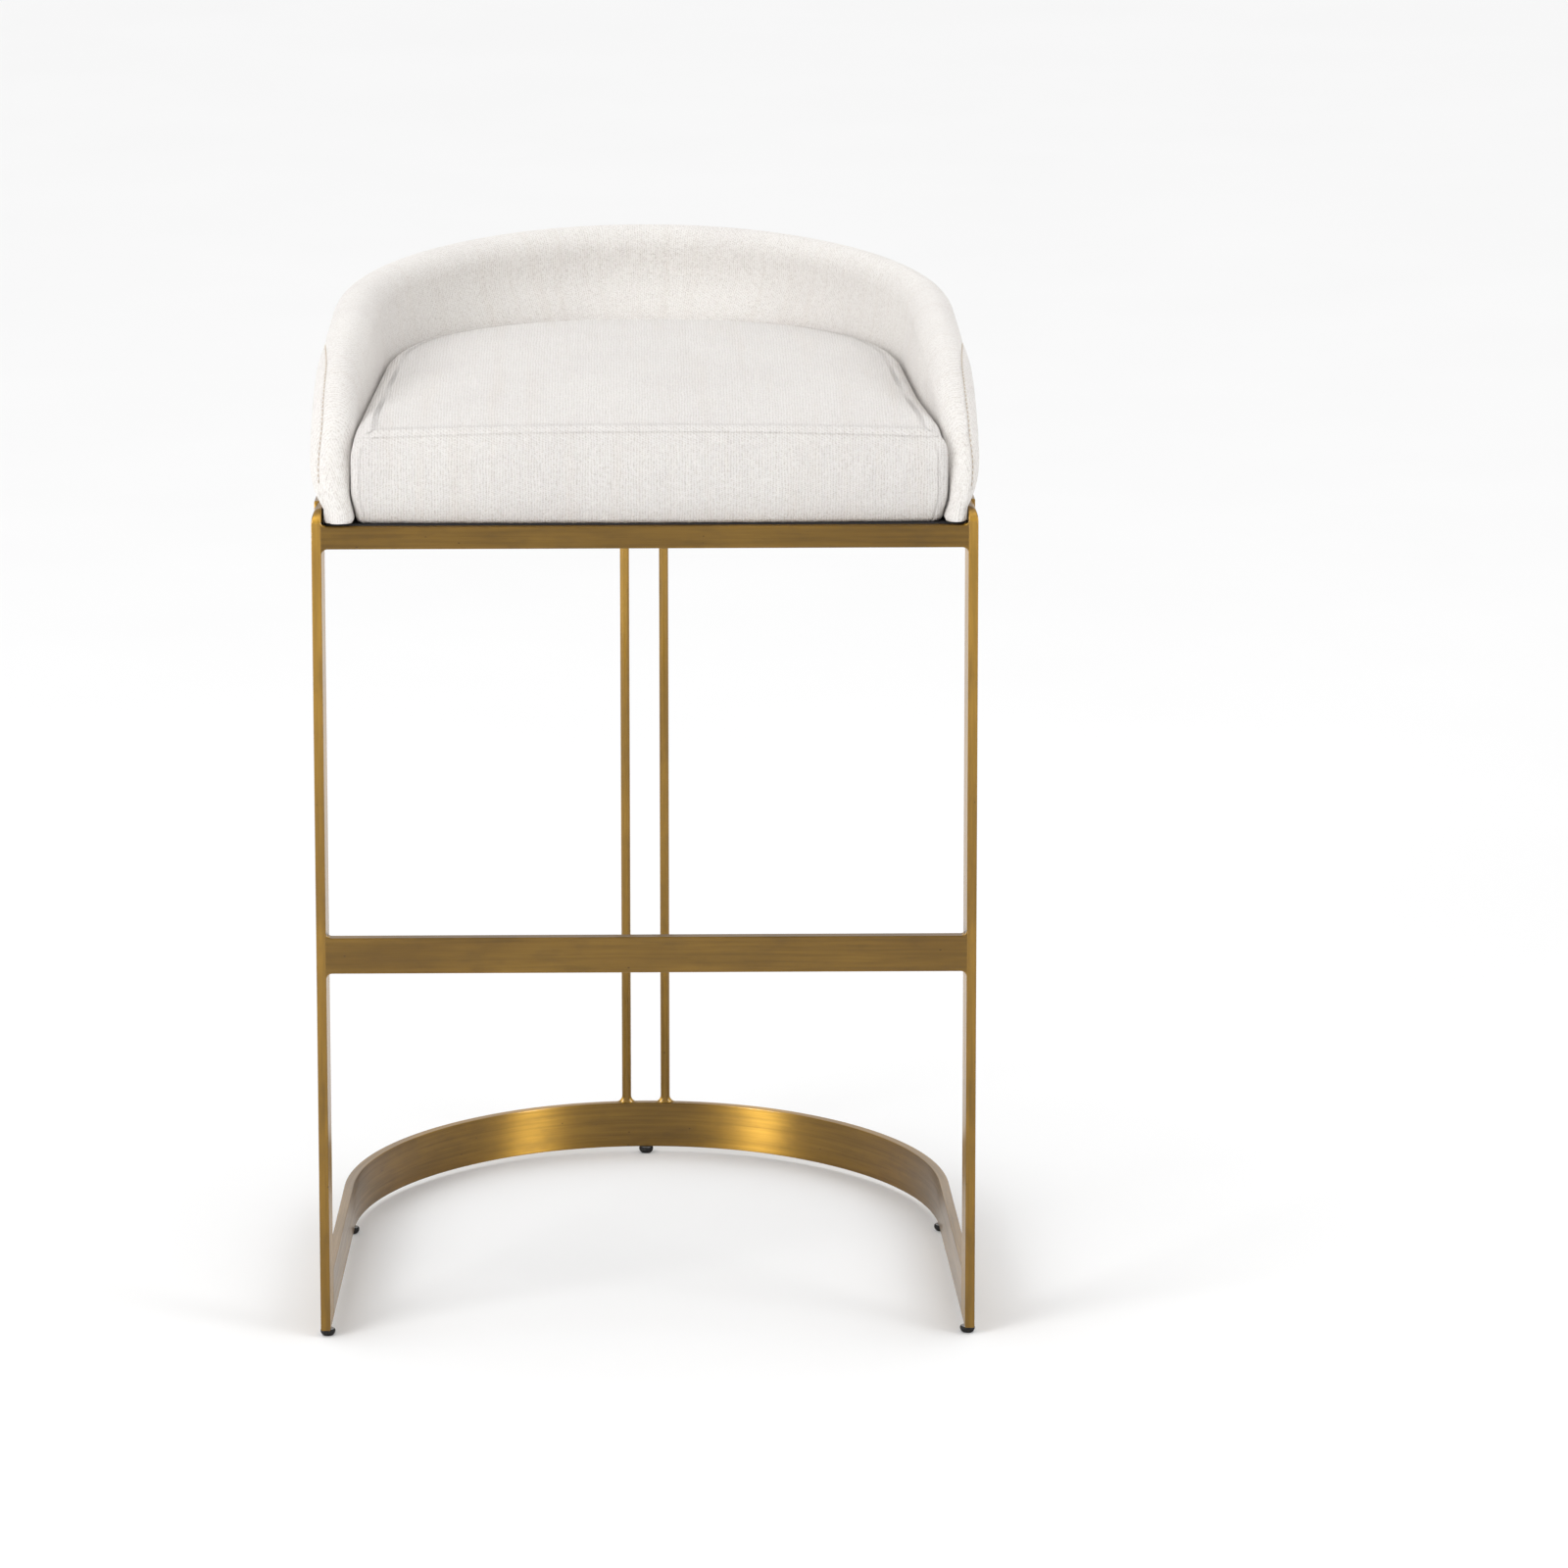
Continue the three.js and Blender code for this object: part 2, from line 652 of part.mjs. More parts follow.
const feet = new THREE.Group();
for (const { name, x, y } of glides) {
  const foot = new THREE.Group();
  foot.position.set(x, y, 0);
  const bore = STUD_RADIUS + GAP;
  const padTop = FLOOR_GAP - GAP;
  const pad = lathe(
    [
      [0, 0],
      [GLIDE_FLAT, 0],
      [GLIDE_DOME.bottomRadius, GLIDE_DOME.bottomHeight],
      [GLIDE_RADIUS, GLIDE_DOME.topHeight],
      [GLIDE_RADIUS, padTop],
      [bore, padTop],
      [bore, PAD_FLOOR],
      [0, PAD_FLOOR],
    ],
    PAD_SIDES,
  );
  foot.add(
    mesh(`${name}_glide_pad`, pad, blackPlastic),
    mesh(`${name}_glide_stud`, cylinder(STUD_RADIUS, PAD_FLOOR + GAP, STUD_TOP), steel),
  );
  feet.add(foot);
}

const seat = new THREE.Group();
seat.add(
  mesh("dust_cloth", dustCloth(), blackCloth),
  mesh("seat_board", seatBoard(), plywood),
  mesh("seat_foam", cushion(COVER + GAP, SEAT_Z), foam),
  mesh("seat_cover", cut(cushion(0, SEAT_Z), [cushion(COVER, SEAT_Z - 5)]), fabric),
);
for (const { name, x, y } of seatScrews) {
  const fixing = new THREE.Group();
  fixing.position.set(x, y, 0);
  fixing.add(mesh(`${name}_seat_screw`, seatScrew(), steel), mesh(`${name}_tee_nut`, teeNut(), steel));
  seat.add(fixing);
}

const back = new THREE.Group();
back.add(
  mesh("back_core", drilledCore(), plywood),
  mesh("back_padding", cut(shell(COVER + GAP, SEAT_Z), [backCore(GAP, SEAT_Z - 5)]), foam),
  mesh("back_cover", cut(shell(0, SEAT_Z), [shell(COVER, SEAT_Z - 5)]), fabric),
);
for (const { name, x, y } of backScrews) {
  const screw = mesh(`${name}_back_screw`, backScrew(), steel);
  screw.position.set(x, y, 0);
  back.add(screw);
}

const stool = new THREE.Group();
stool.add(frame, feet, seat, back);
stool.position.y = -(DEPTH + REAR_OVERHANG) / 2;

export default stool;
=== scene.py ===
"""Bar stool with a footrest: the looks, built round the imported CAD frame.

Shapes are worked out in millimetres, with depths counted from the front of the legs, and are placed in
the row frame when a piece is made. Every made piece carries a "lay" attribute, in metres: how far along
the bar or the cloth a point is, how far across it, and how deep. The materials follow it.
"""

import json
import math

import bmesh
import bpy
import numpy as np
from mathutils import Matrix, Vector
from mathutils.bvhtree import BVHTree
from mathutils.interpolate import poly_3d_calc

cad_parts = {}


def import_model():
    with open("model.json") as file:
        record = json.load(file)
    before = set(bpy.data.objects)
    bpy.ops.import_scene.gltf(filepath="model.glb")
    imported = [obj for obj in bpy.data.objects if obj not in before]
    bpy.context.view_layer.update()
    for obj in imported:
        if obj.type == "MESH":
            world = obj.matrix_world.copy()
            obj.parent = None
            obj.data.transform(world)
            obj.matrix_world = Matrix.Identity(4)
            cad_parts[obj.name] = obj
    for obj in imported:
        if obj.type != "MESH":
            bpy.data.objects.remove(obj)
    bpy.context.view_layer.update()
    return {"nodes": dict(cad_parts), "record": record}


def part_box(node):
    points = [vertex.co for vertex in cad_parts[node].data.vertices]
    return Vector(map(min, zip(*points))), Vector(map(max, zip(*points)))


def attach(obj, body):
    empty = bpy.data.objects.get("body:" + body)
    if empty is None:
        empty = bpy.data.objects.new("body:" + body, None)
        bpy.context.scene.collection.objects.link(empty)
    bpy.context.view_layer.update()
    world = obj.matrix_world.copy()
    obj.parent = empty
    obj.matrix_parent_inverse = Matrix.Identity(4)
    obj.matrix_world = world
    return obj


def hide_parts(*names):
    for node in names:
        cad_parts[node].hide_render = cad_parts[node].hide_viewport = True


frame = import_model()

# ---- Sizes ----


def box_mm(node):
    """A CAD node's lowest and highest corners in millimetres, y being the depth from the legs' front."""
    low, high = (np.array(corner) * 1000 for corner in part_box(node))
    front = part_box("front_rail")[0].y * 1000
    low[1] -= front
    high[1] -= front
    return low, high


FRONT_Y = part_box("front_rail")[0].y
WIDTH = 2 * box_mm("right_leg")[1][0]
DEPTH = box_mm("base_band")[1][1]
SIDE_LENGTH = 296
SIDE_TAPER = 0.039
REAR_RADIUS = 238.4

BAR = 8
LEG_DEPTH = 40
ROD_RADIUS = 4
ROD_FLARE = 6
ROD_BEHIND = 0.5
WELD_GAP = 0.3
ARRIS = 0.9
WELD_FILLET = 3.2
CORNER_FILLET = 5
WELD_OVERLAP = 2
PROUD = 0.02
STUD_BORE = 2.2
BORE_START_Z = 4
# How far the legs' tips are ground round: down the bar, in from its outer face, back from its front.
GROUND_EDGE = 11
GROUND_IN = 5
GROUND_BACK = 12

RIM_ARM_Z = 812
RIM_REAR_Z = box_mm("back_cover")[1][2]
ARM_RUN = 185
ARM_ROUNDNESS = 2.2
RIM_HEIGHT = 18
RIM_HEIGHT_AT_FOOT = 8
RIM_INSET = 31
ARM_THICKNESS = 32
REAR_THICKENING = 27
ARM_TUCK = 9.5
RIGHT_ARM_EASE = 1.3
ARM_BULGE = 1
LEAN_START_Z = 757
BAND_TOP = box_mm("seat_band")[1][2]
SWELL_HEIGHT = 45
NOSE_RUN = 1.0
FAN = 46
FAN_RUN = 170
FOOT_ROUND = 5

SEAT_Z = box_mm("seat_cover")[0][2]
CUSHION_FRONT = 7
CUSHION_SEAM_Z = 761
CUSHION_CROWN = 22

# ---- Plan outline: the right half, at a run measured from the front along the outside ----

side_normal = np.array([1, SIDE_TAPER]) / math.hypot(1, SIDE_TAPER)
side_end = np.array([WIDTH / 2 - SIDE_TAPER * SIDE_LENGTH, SIDE_LENGTH])
rear_centre = np.array([0, DEPTH - REAR_RADIUS])
rear_to_side = side_end - rear_centre
shoulder_radius = (rear_to_side @ rear_to_side - REAR_RADIUS**2) / (
    2 * (rear_to_side @ side_normal - REAR_RADIUS)
)
shoulder_centre = side_end - side_normal * shoulder_radius
shoulder_angle = math.atan2(side_normal[1], side_normal[0])
rear_angle = math.atan2(*(rear_centre - shoulder_centre)[::-1])
SIDE_RUN = SIDE_LENGTH * math.hypot(1, SIDE_TAPER)
SHOULDER_RUN = shoulder_radius * (rear_angle - shoulder_angle)
HALF_RUN = SIDE_RUN + SHOULDER_RUN + REAR_RADIUS * (math.pi / 2 - rear_angle)


def outline(run):
    """Point and outward normal of the plan outline, which comes back up the left from the rear's middle."""
    if run > HALF_RUN:
        point, normal = outline(2 * HALF_RUN - run)
        return point * [-1, 1], normal * [-1, 1]
    if run <= SIDE_RUN:
        depth = run / math.hypot(1, SIDE_TAPER)
        return np.array([WIDTH / 2 - SIDE_TAPER * depth, depth]), side_normal
    if run <= SIDE_RUN + SHOULDER_RUN:
        centre, radius = shoulder_centre, shoulder_radius
        angle = shoulder_angle + (run - SIDE_RUN) / radius
    else:
        centre, radius = rear_centre, REAR_RADIUS
        angle = rear_angle + (run - SIDE_RUN - SHOULDER_RUN) / radius
    normal = np.array([math.cos(angle), math.sin(angle)])
    return centre + radius * normal, normal


def from_front(run):
    """Run from the nearer of the two front ends."""
    return min(run, 2 * HALF_RUN - run)


def run_on_side(run, side):
    """The run of a point of the right half (side 1), or of its mirror image (side -1)."""
    return run if side > 0 else 2 * HALF_RUN - run


def inset_point(run, inset, z):
    """Point at a height, inside the plan outline by an inset."""
    point, normal = outline(run)
    x, depth = point - normal * inset
    return (x, depth, z)


def smoothstep(value, low, high):
    t = min(max((value - low) / (high - low), 0), 1)
    return t * t * (3 - 2 * t)


def lerp(a, b, t):
    return a + (b - a) * t


def quarter(steps):
    """Angles from 0 to a quarter turn."""
    return [i / steps * math.pi / 2 for i in range(steps + 1)]


# ---- Making pieces ----


def make_piece(name, points, faces, lay, material, body="stool", sharp=True, cross=None):
    """A mesh object from points in millimetres, riding on a body. Hard pieces get weighted normals."""
    mesh = bpy.data.meshes.new(name)
    placed = [(x / 1000, depth / 1000 + FRONT_Y, z / 1000) for x, depth, z in points]
    mesh.from_pydata(placed, [], faces)
    attribute = mesh.attributes.new("lay", "FLOAT_VECTOR", "POINT")
    attribute.data.foreach_set("vector", (np.array(lay, float) / 1000).ravel())
    if cross is not None:
        across = mesh.attributes.new("cross", "FLOAT_VECTOR", "POINT")
        across.data.foreach_set("vector", np.array(cross, float).ravel())
    bm = bmesh.new()
    bm.from_mesh(mesh)
    bmesh.ops.recalc_face_normals(bm, faces=bm.faces)
    bm.to_mesh(mesh)
    bm.free()
    for polygon in mesh.polygons:
        polygon.use_smooth = True
    piece = bpy.data.objects.new(name, mesh)
    bpy.context.scene.collection.objects.link(piece)
    mesh.materials.append(material)
    if sharp:
        weighted = piece.modifiers.new("weighted", "WEIGHTED_NORMAL")
        weighted.weight = 100
    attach(piece, body)
    return piece


def loft_faces(rings, size):
    """Quads between rings of one size, and a face on each end."""
    faces = []
    for r in range(rings - 1):
        base, following = r * size, (r + 1) * size
        for i in range(size):
            j = (i + 1) % size
            faces.append((base + i, base + j, following + j, following + i))
    faces.append(tuple(range(size)))
    faces.append(tuple((rings - 1) * size + i for i in range(size)))
    return faces


def loft(name, rings, lay_rings, material, **options):
    """A closed piece through rings of points. cross(place, spot) is the direction across its brushing."""
    points = [p for ring in rings for p in ring]
    lay = [p for ring in lay_rings for p in ring]
    if "cross" in options:
        options["cross"] = [options["cross"](place, spot) for place, spot in zip(points, lay)]
    return make_piece(name, points, loft_faces(len(rings), len(rings[0])), lay, material, **options)


def rounded_rectangle(low_a, high_a, low_b, high_b, radius):
    """Points round a rectangle with rounded corners, from the low-a, low-b corner."""
    corners = [
        (low_a + radius, low_b + radius, math.pi),
        (high_a - radius, low_b + radius, 1.5 * math.pi),
        (high_a - radius, high_b - radius, 0),
        (low_a + radius, high_b - radius, 0.5 * math.pi),
    ]
    points = []
    for a, b, start in corners:
        for turn in quarter(4):
            points.append((a + radius * math.cos(start + turn), b + radius * math.sin(start + turn)))
    return points


# ---- Node materials ----


class Nodes:
    """Short calls for building one material's node tree."""

    def __init__(self, name):
        self.material = bpy.data.materials.new(name)
        self.material.use_nodes = True
        self.tree = self.material.node_tree
        self.shader = self.tree.nodes["Principled BSDF"]

    def link(self, source, target):
        if isinstance(source, (int, float, tuple)):
            target.default_value = source
        else:
            self.tree.links.new(source, target)

    def add(self, kind, **settings):
        node = self.tree.nodes.new(kind)
        for key, value in settings.items():
            setattr(node, key, value)
        return node

    def attribute(self, name):
        return self.add("ShaderNodeAttribute", attribute_name=name).outputs["Vector"]

    def object_place(self):
        return self.add("ShaderNodeTexCoord").outputs["Object"]

    def stretch(self, vector, scale):
        node = self.add("ShaderNodeMapping")
        self.link(vector, node.inputs["Vector"])
        node.inputs["Scale"].default_value = scale
        return node.outputs["Vector"]

    def noise(self, vector, scale, detail=2.0, roughness=0.5):
        node = self.add("ShaderNodeTexNoise")
        self.link(vector, node.inputs["Vector"])
        node.inputs["Scale"].default_value = scale
        node.inputs["Detail"].default_value = detail
        node.inputs["Roughness"].default_value = roughness
        return node.outputs["Fac"]

    def cells(self, vector, scale):
        node = self.add("ShaderNodeTexVoronoi", feature="F1")
        self.link(vector, node.inputs["Vector"])
        node.inputs["Scale"].default_value = scale
        return node.outputs["Distance"]

    def math(self, operation, a, b=0.0):
        node = self.add("ShaderNodeMath", operation=operation)
        self.link(a, node.inputs[0])
        self.link(b, node.inputs[1])
        return node.outputs[0]

    def between(self, value, low, high, to_low, to_high):
        node = self.add("ShaderNodeMapRange")
        self.link(value, node.inputs["Value"])
        node.inputs["From Min"].default_value = low
        node.inputs["From Max"].default_value = high
        node.inputs["To Min"].default_value = to_low
        node.inputs["To Max"].default_value = to_high
        return node.outputs["Result"]

    def split(self, vector):
        node = self.add("ShaderNodeSeparateXYZ")
        self.link(vector, node.inputs[0])
        return node.outputs

    def mix(self, factor, a, b):
        node = self.add("ShaderNodeMix", data_type="RGBA", blend_type="MIX")
        self.link(factor, node.inputs[0])
        self.link(a, node.inputs[6])
        self.link(b, node.inputs[7])
        return node.outputs[2]

    def bump(self, height, strength, distance):
        node = self.add("ShaderNodeBump")
        self.link(height, node.inputs["Height"])
        node.inputs["Strength"].default_value = strength
        node.inputs["Distance"].default_value = distance
        return node.outputs["Normal"]

    def finish(self, **sockets):
        for key, value in sockets.items():
            self.link(value, self.shader.inputs[key.replace("_", " ")])
        return self.material


def rgb(red, green, blue):
    """A linear colour from 0 to 255 screen values."""
    return tuple(((c / 255 + 0.055) / 1.055) ** 2.4 for c in (red, green, blue)) + (1,)


def brass_material():
    """Antique brass, brushed along each bar under a satin lacquer, with cloudy toning and specks."""
    n = Nodes("brushed_brass")
    lay = n.attribute("lay")
    hairlines = n.noise(n.stretch(lay, (5, 2400, 2400)), 1, 4, 0.7)
    strokes = n.noise(n.stretch(lay, (10, 330, 330)), 1, 4, 0.65)
    toning = n.noise(n.stretch(lay, (7, 22, 22)), 1, 3, 0.5)
    clouds = n.noise(n.stretch(lay, (26, 60, 60)), 1, 3, 0.6)
    specks = n.cells(n.stretch(lay, (60, 90, 90)), 1)
    colour = n.mix(n.between(toning, 0.32, 0.68, 0, 1), rgb(134, 100, 35), rgb(160, 122, 45))
    colour = n.mix(n.between(strokes, 0.38, 0.72, 0, 0.5), colour, rgb(102, 76, 25))
    colour = n.mix(n.between(clouds, 0.5, 0.75, 0, 0.35), colour, rgb(102, 77, 36))
    colour = n.mix(n.between(specks, 0.04, 0.07, 0.55, 0), colour, rgb(56, 38, 16))
    worn = n.add("ShaderNodeNewGeometry").outputs["Pointiness"]
    colour = n.mix(n.between(worn, 0.53, 0.62, 0, 0.45), colour, rgb(96, 72, 34))
    roughness = n.between(n.math("ADD", hairlines, strokes), 0.6, 1.4, 0.4, 0.52)
    return n.finish(
        Base_Color=colour,
        Metallic=1.0,
        Roughness=roughness,
        Anisotropic=0.93,
        Coat_Weight=0.6,
        Coat_Roughness=0.15,
        Tangent=n.attribute("cross"),
        Normal=n.bump(hairlines, 0.2, 0.0001),
    )


def steel_material():
    """Zinc-plated steel: a mottled, faintly blue grey with rolled streaks."""
    n = Nodes("zinc_steel")
    place = n.object_place()
    spangle = n.cells(place, 260)
    streaks = n.noise(n.stretch(place, (20, 900, 900)), 1, 3)
    colour = n.mix(n.between(spangle, 0.0, 0.8, 0, 1), rgb(176, 178, 182), rgb(150, 151, 150))
    return n.finish(
        Base_Color=colour,
        Metallic=1.0,
        Roughness=n.between(streaks, 0.3, 0.7, 0.3, 0.5),
        Normal=n.bump(streaks, 0.1, 0.0002),
    )


def fabric_material(name, light, ribbed, crepe):
    """Cream upholstery cloth: fine soft ribs broken up by a nubby, crinkled thread, with painted shade
    darkening the thread's hollows.

    ribbed is how high the ribs stand, and crepe is how strongly the thread crinkles.
    """
    n = Nodes(name)
    rib = 0.0023
    lay, place = n.attribute("lay"), n.object_place()
    along, across, _ = n.split(lay)
    wander = n.noise(n.stretch(lay, (90, 40, 1)), 1, 2)
    turns = n.math("ADD", n.math("MULTIPLY", along, 2 * math.pi / rib), n.math("MULTIPLY", wander, 7))
    ribs = n.math("SINE", turns)
    pick = n.math("MULTIPLY", across, 2 * math.pi / (rib * 0.75))
    picks = n.math("SINE", n.math("ADD", pick, n.math("MULTIPLY", turns, 0.5)))
    nubs = n.noise(n.stretch(place, (950, 950, 700)), 1, 3, 0.7)
    crinkle = n.noise(n.stretch(place, (560, 560, 360)), 1, 2, 0.6)
    slubs = n.noise(n.stretch(place, (300, 300, 60)), 1, 3)
    columns = n.noise(n.stretch(lay, (70, 5, 1)), 1, 3)
    weave = n.math("MULTIPLY", n.math("ADD", ribs, n.math("MULTIPLY", picks, 0.6)), ribbed)
    rough = n.math("ADD", nubs, n.math("MULTIPLY", crinkle, crepe))
    thread = n.math("ADD", weave, rough)
    shade = n.noise(n.stretch(place, (11, 11, 9)), 1, 2)
    shaded = (light[0] * 0.96, light[1] * 0.955, light[2] * 0.96, 1)
    colour = n.mix(n.between(shade, 0.35, 0.65, 0, 1), light, shaded)
    colour = n.mix(n.between(slubs, 0.4, 0.7, 0, 0.3), colour, rgb(244, 241, 236))
    colour = n.mix(n.between(columns, 0.5, 0.75, 0, 0.22), colour, rgb(222, 212, 202))
    # Painted shade: the cloth's colour darkens to a grey brown in the hollows of the thread.
    middle = 0.5 + 0.5 * crepe
    thread_hollow_shade = n.between(thread, middle - 0.3, middle + 0.06, 0.6 - 0.15 * crepe, 0)
    colour = n.mix(thread_hollow_shade, colour, rgb(178, 167, 157))
    return n.finish(
        Base_Color=colour,
        Roughness=n.between(nubs, 0.3, 0.7, 0.88, 0.98),
        Sheen_Weight=0.2,
        Sheen_Roughness=0.5,
        Specular_IOR_Level=0.2,
        Normal=n.bump(thread, 1.0, 0.001),
    )


def thread_material():
    """Twisted sewing thread, a shade darker than the cloth."""
    n = Nodes("sewing_thread")
    twist = n.noise(n.object_place(), 1800, 2)
    colour = n.mix(n.between(twist, 0.35, 0.65, 0, 1), rgb(196, 178, 156), rgb(216, 202, 184))
    return n.finish(Base_Color=colour, Roughness=0.8, Normal=n.bump(twist, 0.3, 0.0002))


def plastic_material():
    """Black moulded plastic, dusty in its fine grain."""
    n = Nodes("black_plastic")
    place = n.object_place()
    grain = n.noise(place, 1400, 3)
    dust = n.noise(place, 500, 2)
    colour = n.mix(n.between(dust, 0.5, 0.75, 0, 0.5), rgb(22, 19, 16), rgb(70, 64, 56))
    return n.finish(
        Base_Color=colour,
        Roughness=n.between(grain, 0.3, 0.7, 0.6, 0.8),
        Specular_IOR_Level=0.25,
        Normal=n.bump(grain, 0.3, 0.0003),
    )


def wood_material(name, light, dark):
    """Rotary-cut plywood: long grain in layers that show at the edges."""
    n = Nodes(name)
    place = n.object_place()
    grain = n.noise(n.stretch(place, (12, 130, 900)), 1, 4, 0.6)
    pores = n.noise(n.stretch(place, (60, 1500, 1500)), 1, 2)
    colour = n.mix(n.between(grain, 0.3, 0.7, 0, 1), light, dark)
    colour = n.mix(n.between(pores, 0.55, 0.75, 0, 0.4), colour, dark)
    return n.finish(
        Base_Color=colour,
        Roughness=n.between(grain, 0.3, 0.7, 0.6, 0.8),
        Normal=n.bump(pores, 0.3, 0.0004),
    )


def lining_material():
    """Spun-bonded black lining: matted fibres with a dotted emboss."""
    n = Nodes("black_lining")
    place = n.object_place()
    fibres = n.noise(n.stretch(place, (900, 500, 900)), 1, 4, 0.7)
    dots = n.cells(place, 420)
    colour = n.mix(n.between(fibres, 0.35, 0.7, 0, 1), rgb(26, 26, 28), rgb(52, 52, 55))
    height = n.math("ADD", fibres, n.between(dots, 0.1, 0.35, 0, 0.5))
    return n.finish(Base_Color=colour, Roughness=0.95, Normal=n.bump(height, 0.5, 0.0003))


brass = brass_material()
steel = steel_material()
# One cream cloth in two copies: the back's copy is painted lighter than the cushion's, painted light for
# the brighter light that falls on the back.
cushion_cloth = fabric_material("cushion_cloth", rgb(231, 228, 225), 0.12, 0.5)
back_cloth_painted_lighter = fabric_material("back_cloth_painted_lighter", rgb(243, 240, 236), 0.08, 0.5)
thread = thread_material()
black_plastic = plastic_material()
plywood = wood_material("plywood", rgb(206, 176, 132), rgb(172, 138, 96))
# Near black plywood for the seat board, so that the narrow gap between the cushion's hem and the rail shows
# dark.
stained_plywood = wood_material("stained_plywood", rgb(32, 28, 25), rgb(18, 15, 13))
lining = lining_material()

CAD_FINISHES = {
    "steel": steel,
    "plywood": plywood,
    "stained_plywood": stained_plywood,
    "black_cloth": lining,
}


# ---- Frame ----


def leg(name, side):
    """Flat bar on edge. Its outer corner is ground round towards the top, its front corner too."""
    low, high = box_mm(name)
    bottom, top = low[2], high[2]
    lean = math.atan(SIDE_TAPER)
    heights = [bottom + ARRIS * (1 - math.cos(turn)) for turn in quarter(4)]
    heights += list(np.linspace(bottom + 20, top - 3 * GROUND_EDGE, 24))
    heights += [top - GROUND_EDGE + (GROUND_EDGE - ARRIS) * math.sin(turn) for turn in quarter(12)]
    heights += [top - ARRIS * (1 - math.sin(turn)) for turn in quarter(4)[1:]]
    rings, lay = [], []
    for z in heights:
        edge = min(z - bottom, top - z, ARRIS)
        shrink = ARRIS - math.sqrt(ARRIS**2 - (ARRIS - edge) ** 2)
        ground = max(0, (z - (top - GROUND_EDGE)) / GROUND_EDGE)
        curve = 1 - math.sqrt(max(0, 1 - min(ground, 0.985) ** 2))
        section = rounded_rectangle(
            shrink + GROUND_IN * curve,
            BAR - shrink,
            shrink + GROUND_BACK * curve,
            LEG_DEPTH - shrink,
            ARRIS,
        )
        ring = []
        for inward, depth in section:
            x = WIDTH / 2 - inward * math.cos(lean) - depth * math.sin(lean)
            ring.append((side * x, depth * math.cos(lean) - inward * math.sin(lean), z))
        rings.append(ring)
        lay.append([(z, side * depth * 1.3 + 90, inward) for inward, depth in section])
    return loft(name + "_bar", rings, lay, brass, cross=lambda place, spot: (1, 1, 0))


def cross_bar(name, thickness):
    """Flat bar between the legs; its welded ends swell to meet them with a small concave fillet."""
    low, high = box_mm(name)
    bottom, top = low[2] + WELD_FILLET, high[2] - WELD_FILLET
    middle, half = (bottom + top) / 2, (top - bottom) / 2
    end = WIDTH / 2 - BAR
    stations = [(end + WELD_OVERLAP, CORNER_FILLET, 0, 0), (end, CORNER_FILLET, -1, 0)]
    for turn in quarter(8)[1:-1]:
        x = end - CORNER_FILLET * (1 - math.cos(turn))
        stations.append((x, CORNER_FILLET * (1 - math.sin(turn)), -math.cos(turn), math.sin(turn)))
    stations += [(x, 0, 0, 1) for x in np.linspace(end - CORNER_FILLET, 0, 14)]
    stations += [(-x, rise, -nx, nz) for x, rise, nx, nz in stations[-2::-1]]
    arcs = quarter(4)
    rings, lay = [], []
    for x, rise, nx, nz in stations:
        ring = []
        corners = [
            (-1, -PROUD, 1, arcs[::-1]),
            (1, -PROUD, 1, arcs),
            (1, thickness, -1, arcs[::-1]),
            (-1, thickness, -1, arcs),
        ]
        for up, face, into, turns in corners:
            for turn in turns:
                back = ARRIS * (1 - math.sin(turn)) if (nx or nz) else 0
                depth = face + into * ARRIS * (1 - math.cos(turn))
                z = middle + up * (half + rise - nz * back)
                ring.append((x - nx * back, depth, z))
        rings.append(ring)
        lay.append([(p[0], p[2], p[1]) for p in ring])
    return loft(name + "_flat", rings, lay, brass, cross=lambda place, spot: (0, 1, 1))


def band(name, fillet_up, fillet_down):
    """Flat bar on edge, bent round the plan outline, with a fillet where it meets the legs.

    fillet_up and fillet_down say whether the fillet spreads over the bar's upper and lower edge.
    """
    low, high = box_mm(name)
    runs = [LEG_DEPTH - WELD_OVERLAP, LEG_DEPTH]
    runs += [LEG_DEPTH + WELD_FILLET * (1 - math.cos(turn)) for turn in quarter(8)[1:]]
    runs += list(np.linspace(LEG_DEPTH + 12, SIDE_RUN, 8))
    runs += list(np.linspace(SIDE_RUN, HALF_RUN, 70)[1:])
    runs += [2 * HALF_RUN - run for run in runs[-2::-1]]
    rings, lay = [], []
    for run in runs:
        beyond = min(max(from_front(run) - LEG_DEPTH, 0), WELD_FILLET)
        swell = WELD_FILLET - math.sqrt(WELD_FILLET**2 - (WELD_FILLET - beyond) ** 2)
        section = rounded_rectangle(
            -PROUD,
            BAR + PROUD,
            low[2] - fillet_down * swell,
            high[2] + fillet_up * swell,
            ARRIS,
        )
        rings.append([inset_point(run, inset, z) for inset, z in section])
        lay.append([(run, z, inset) for inset, z in section])

    def cross(place, spot):
        return (*outline(spot[0])[1], 1)

    return loft(name + "_bent", rings, lay, brass, cross=cross)


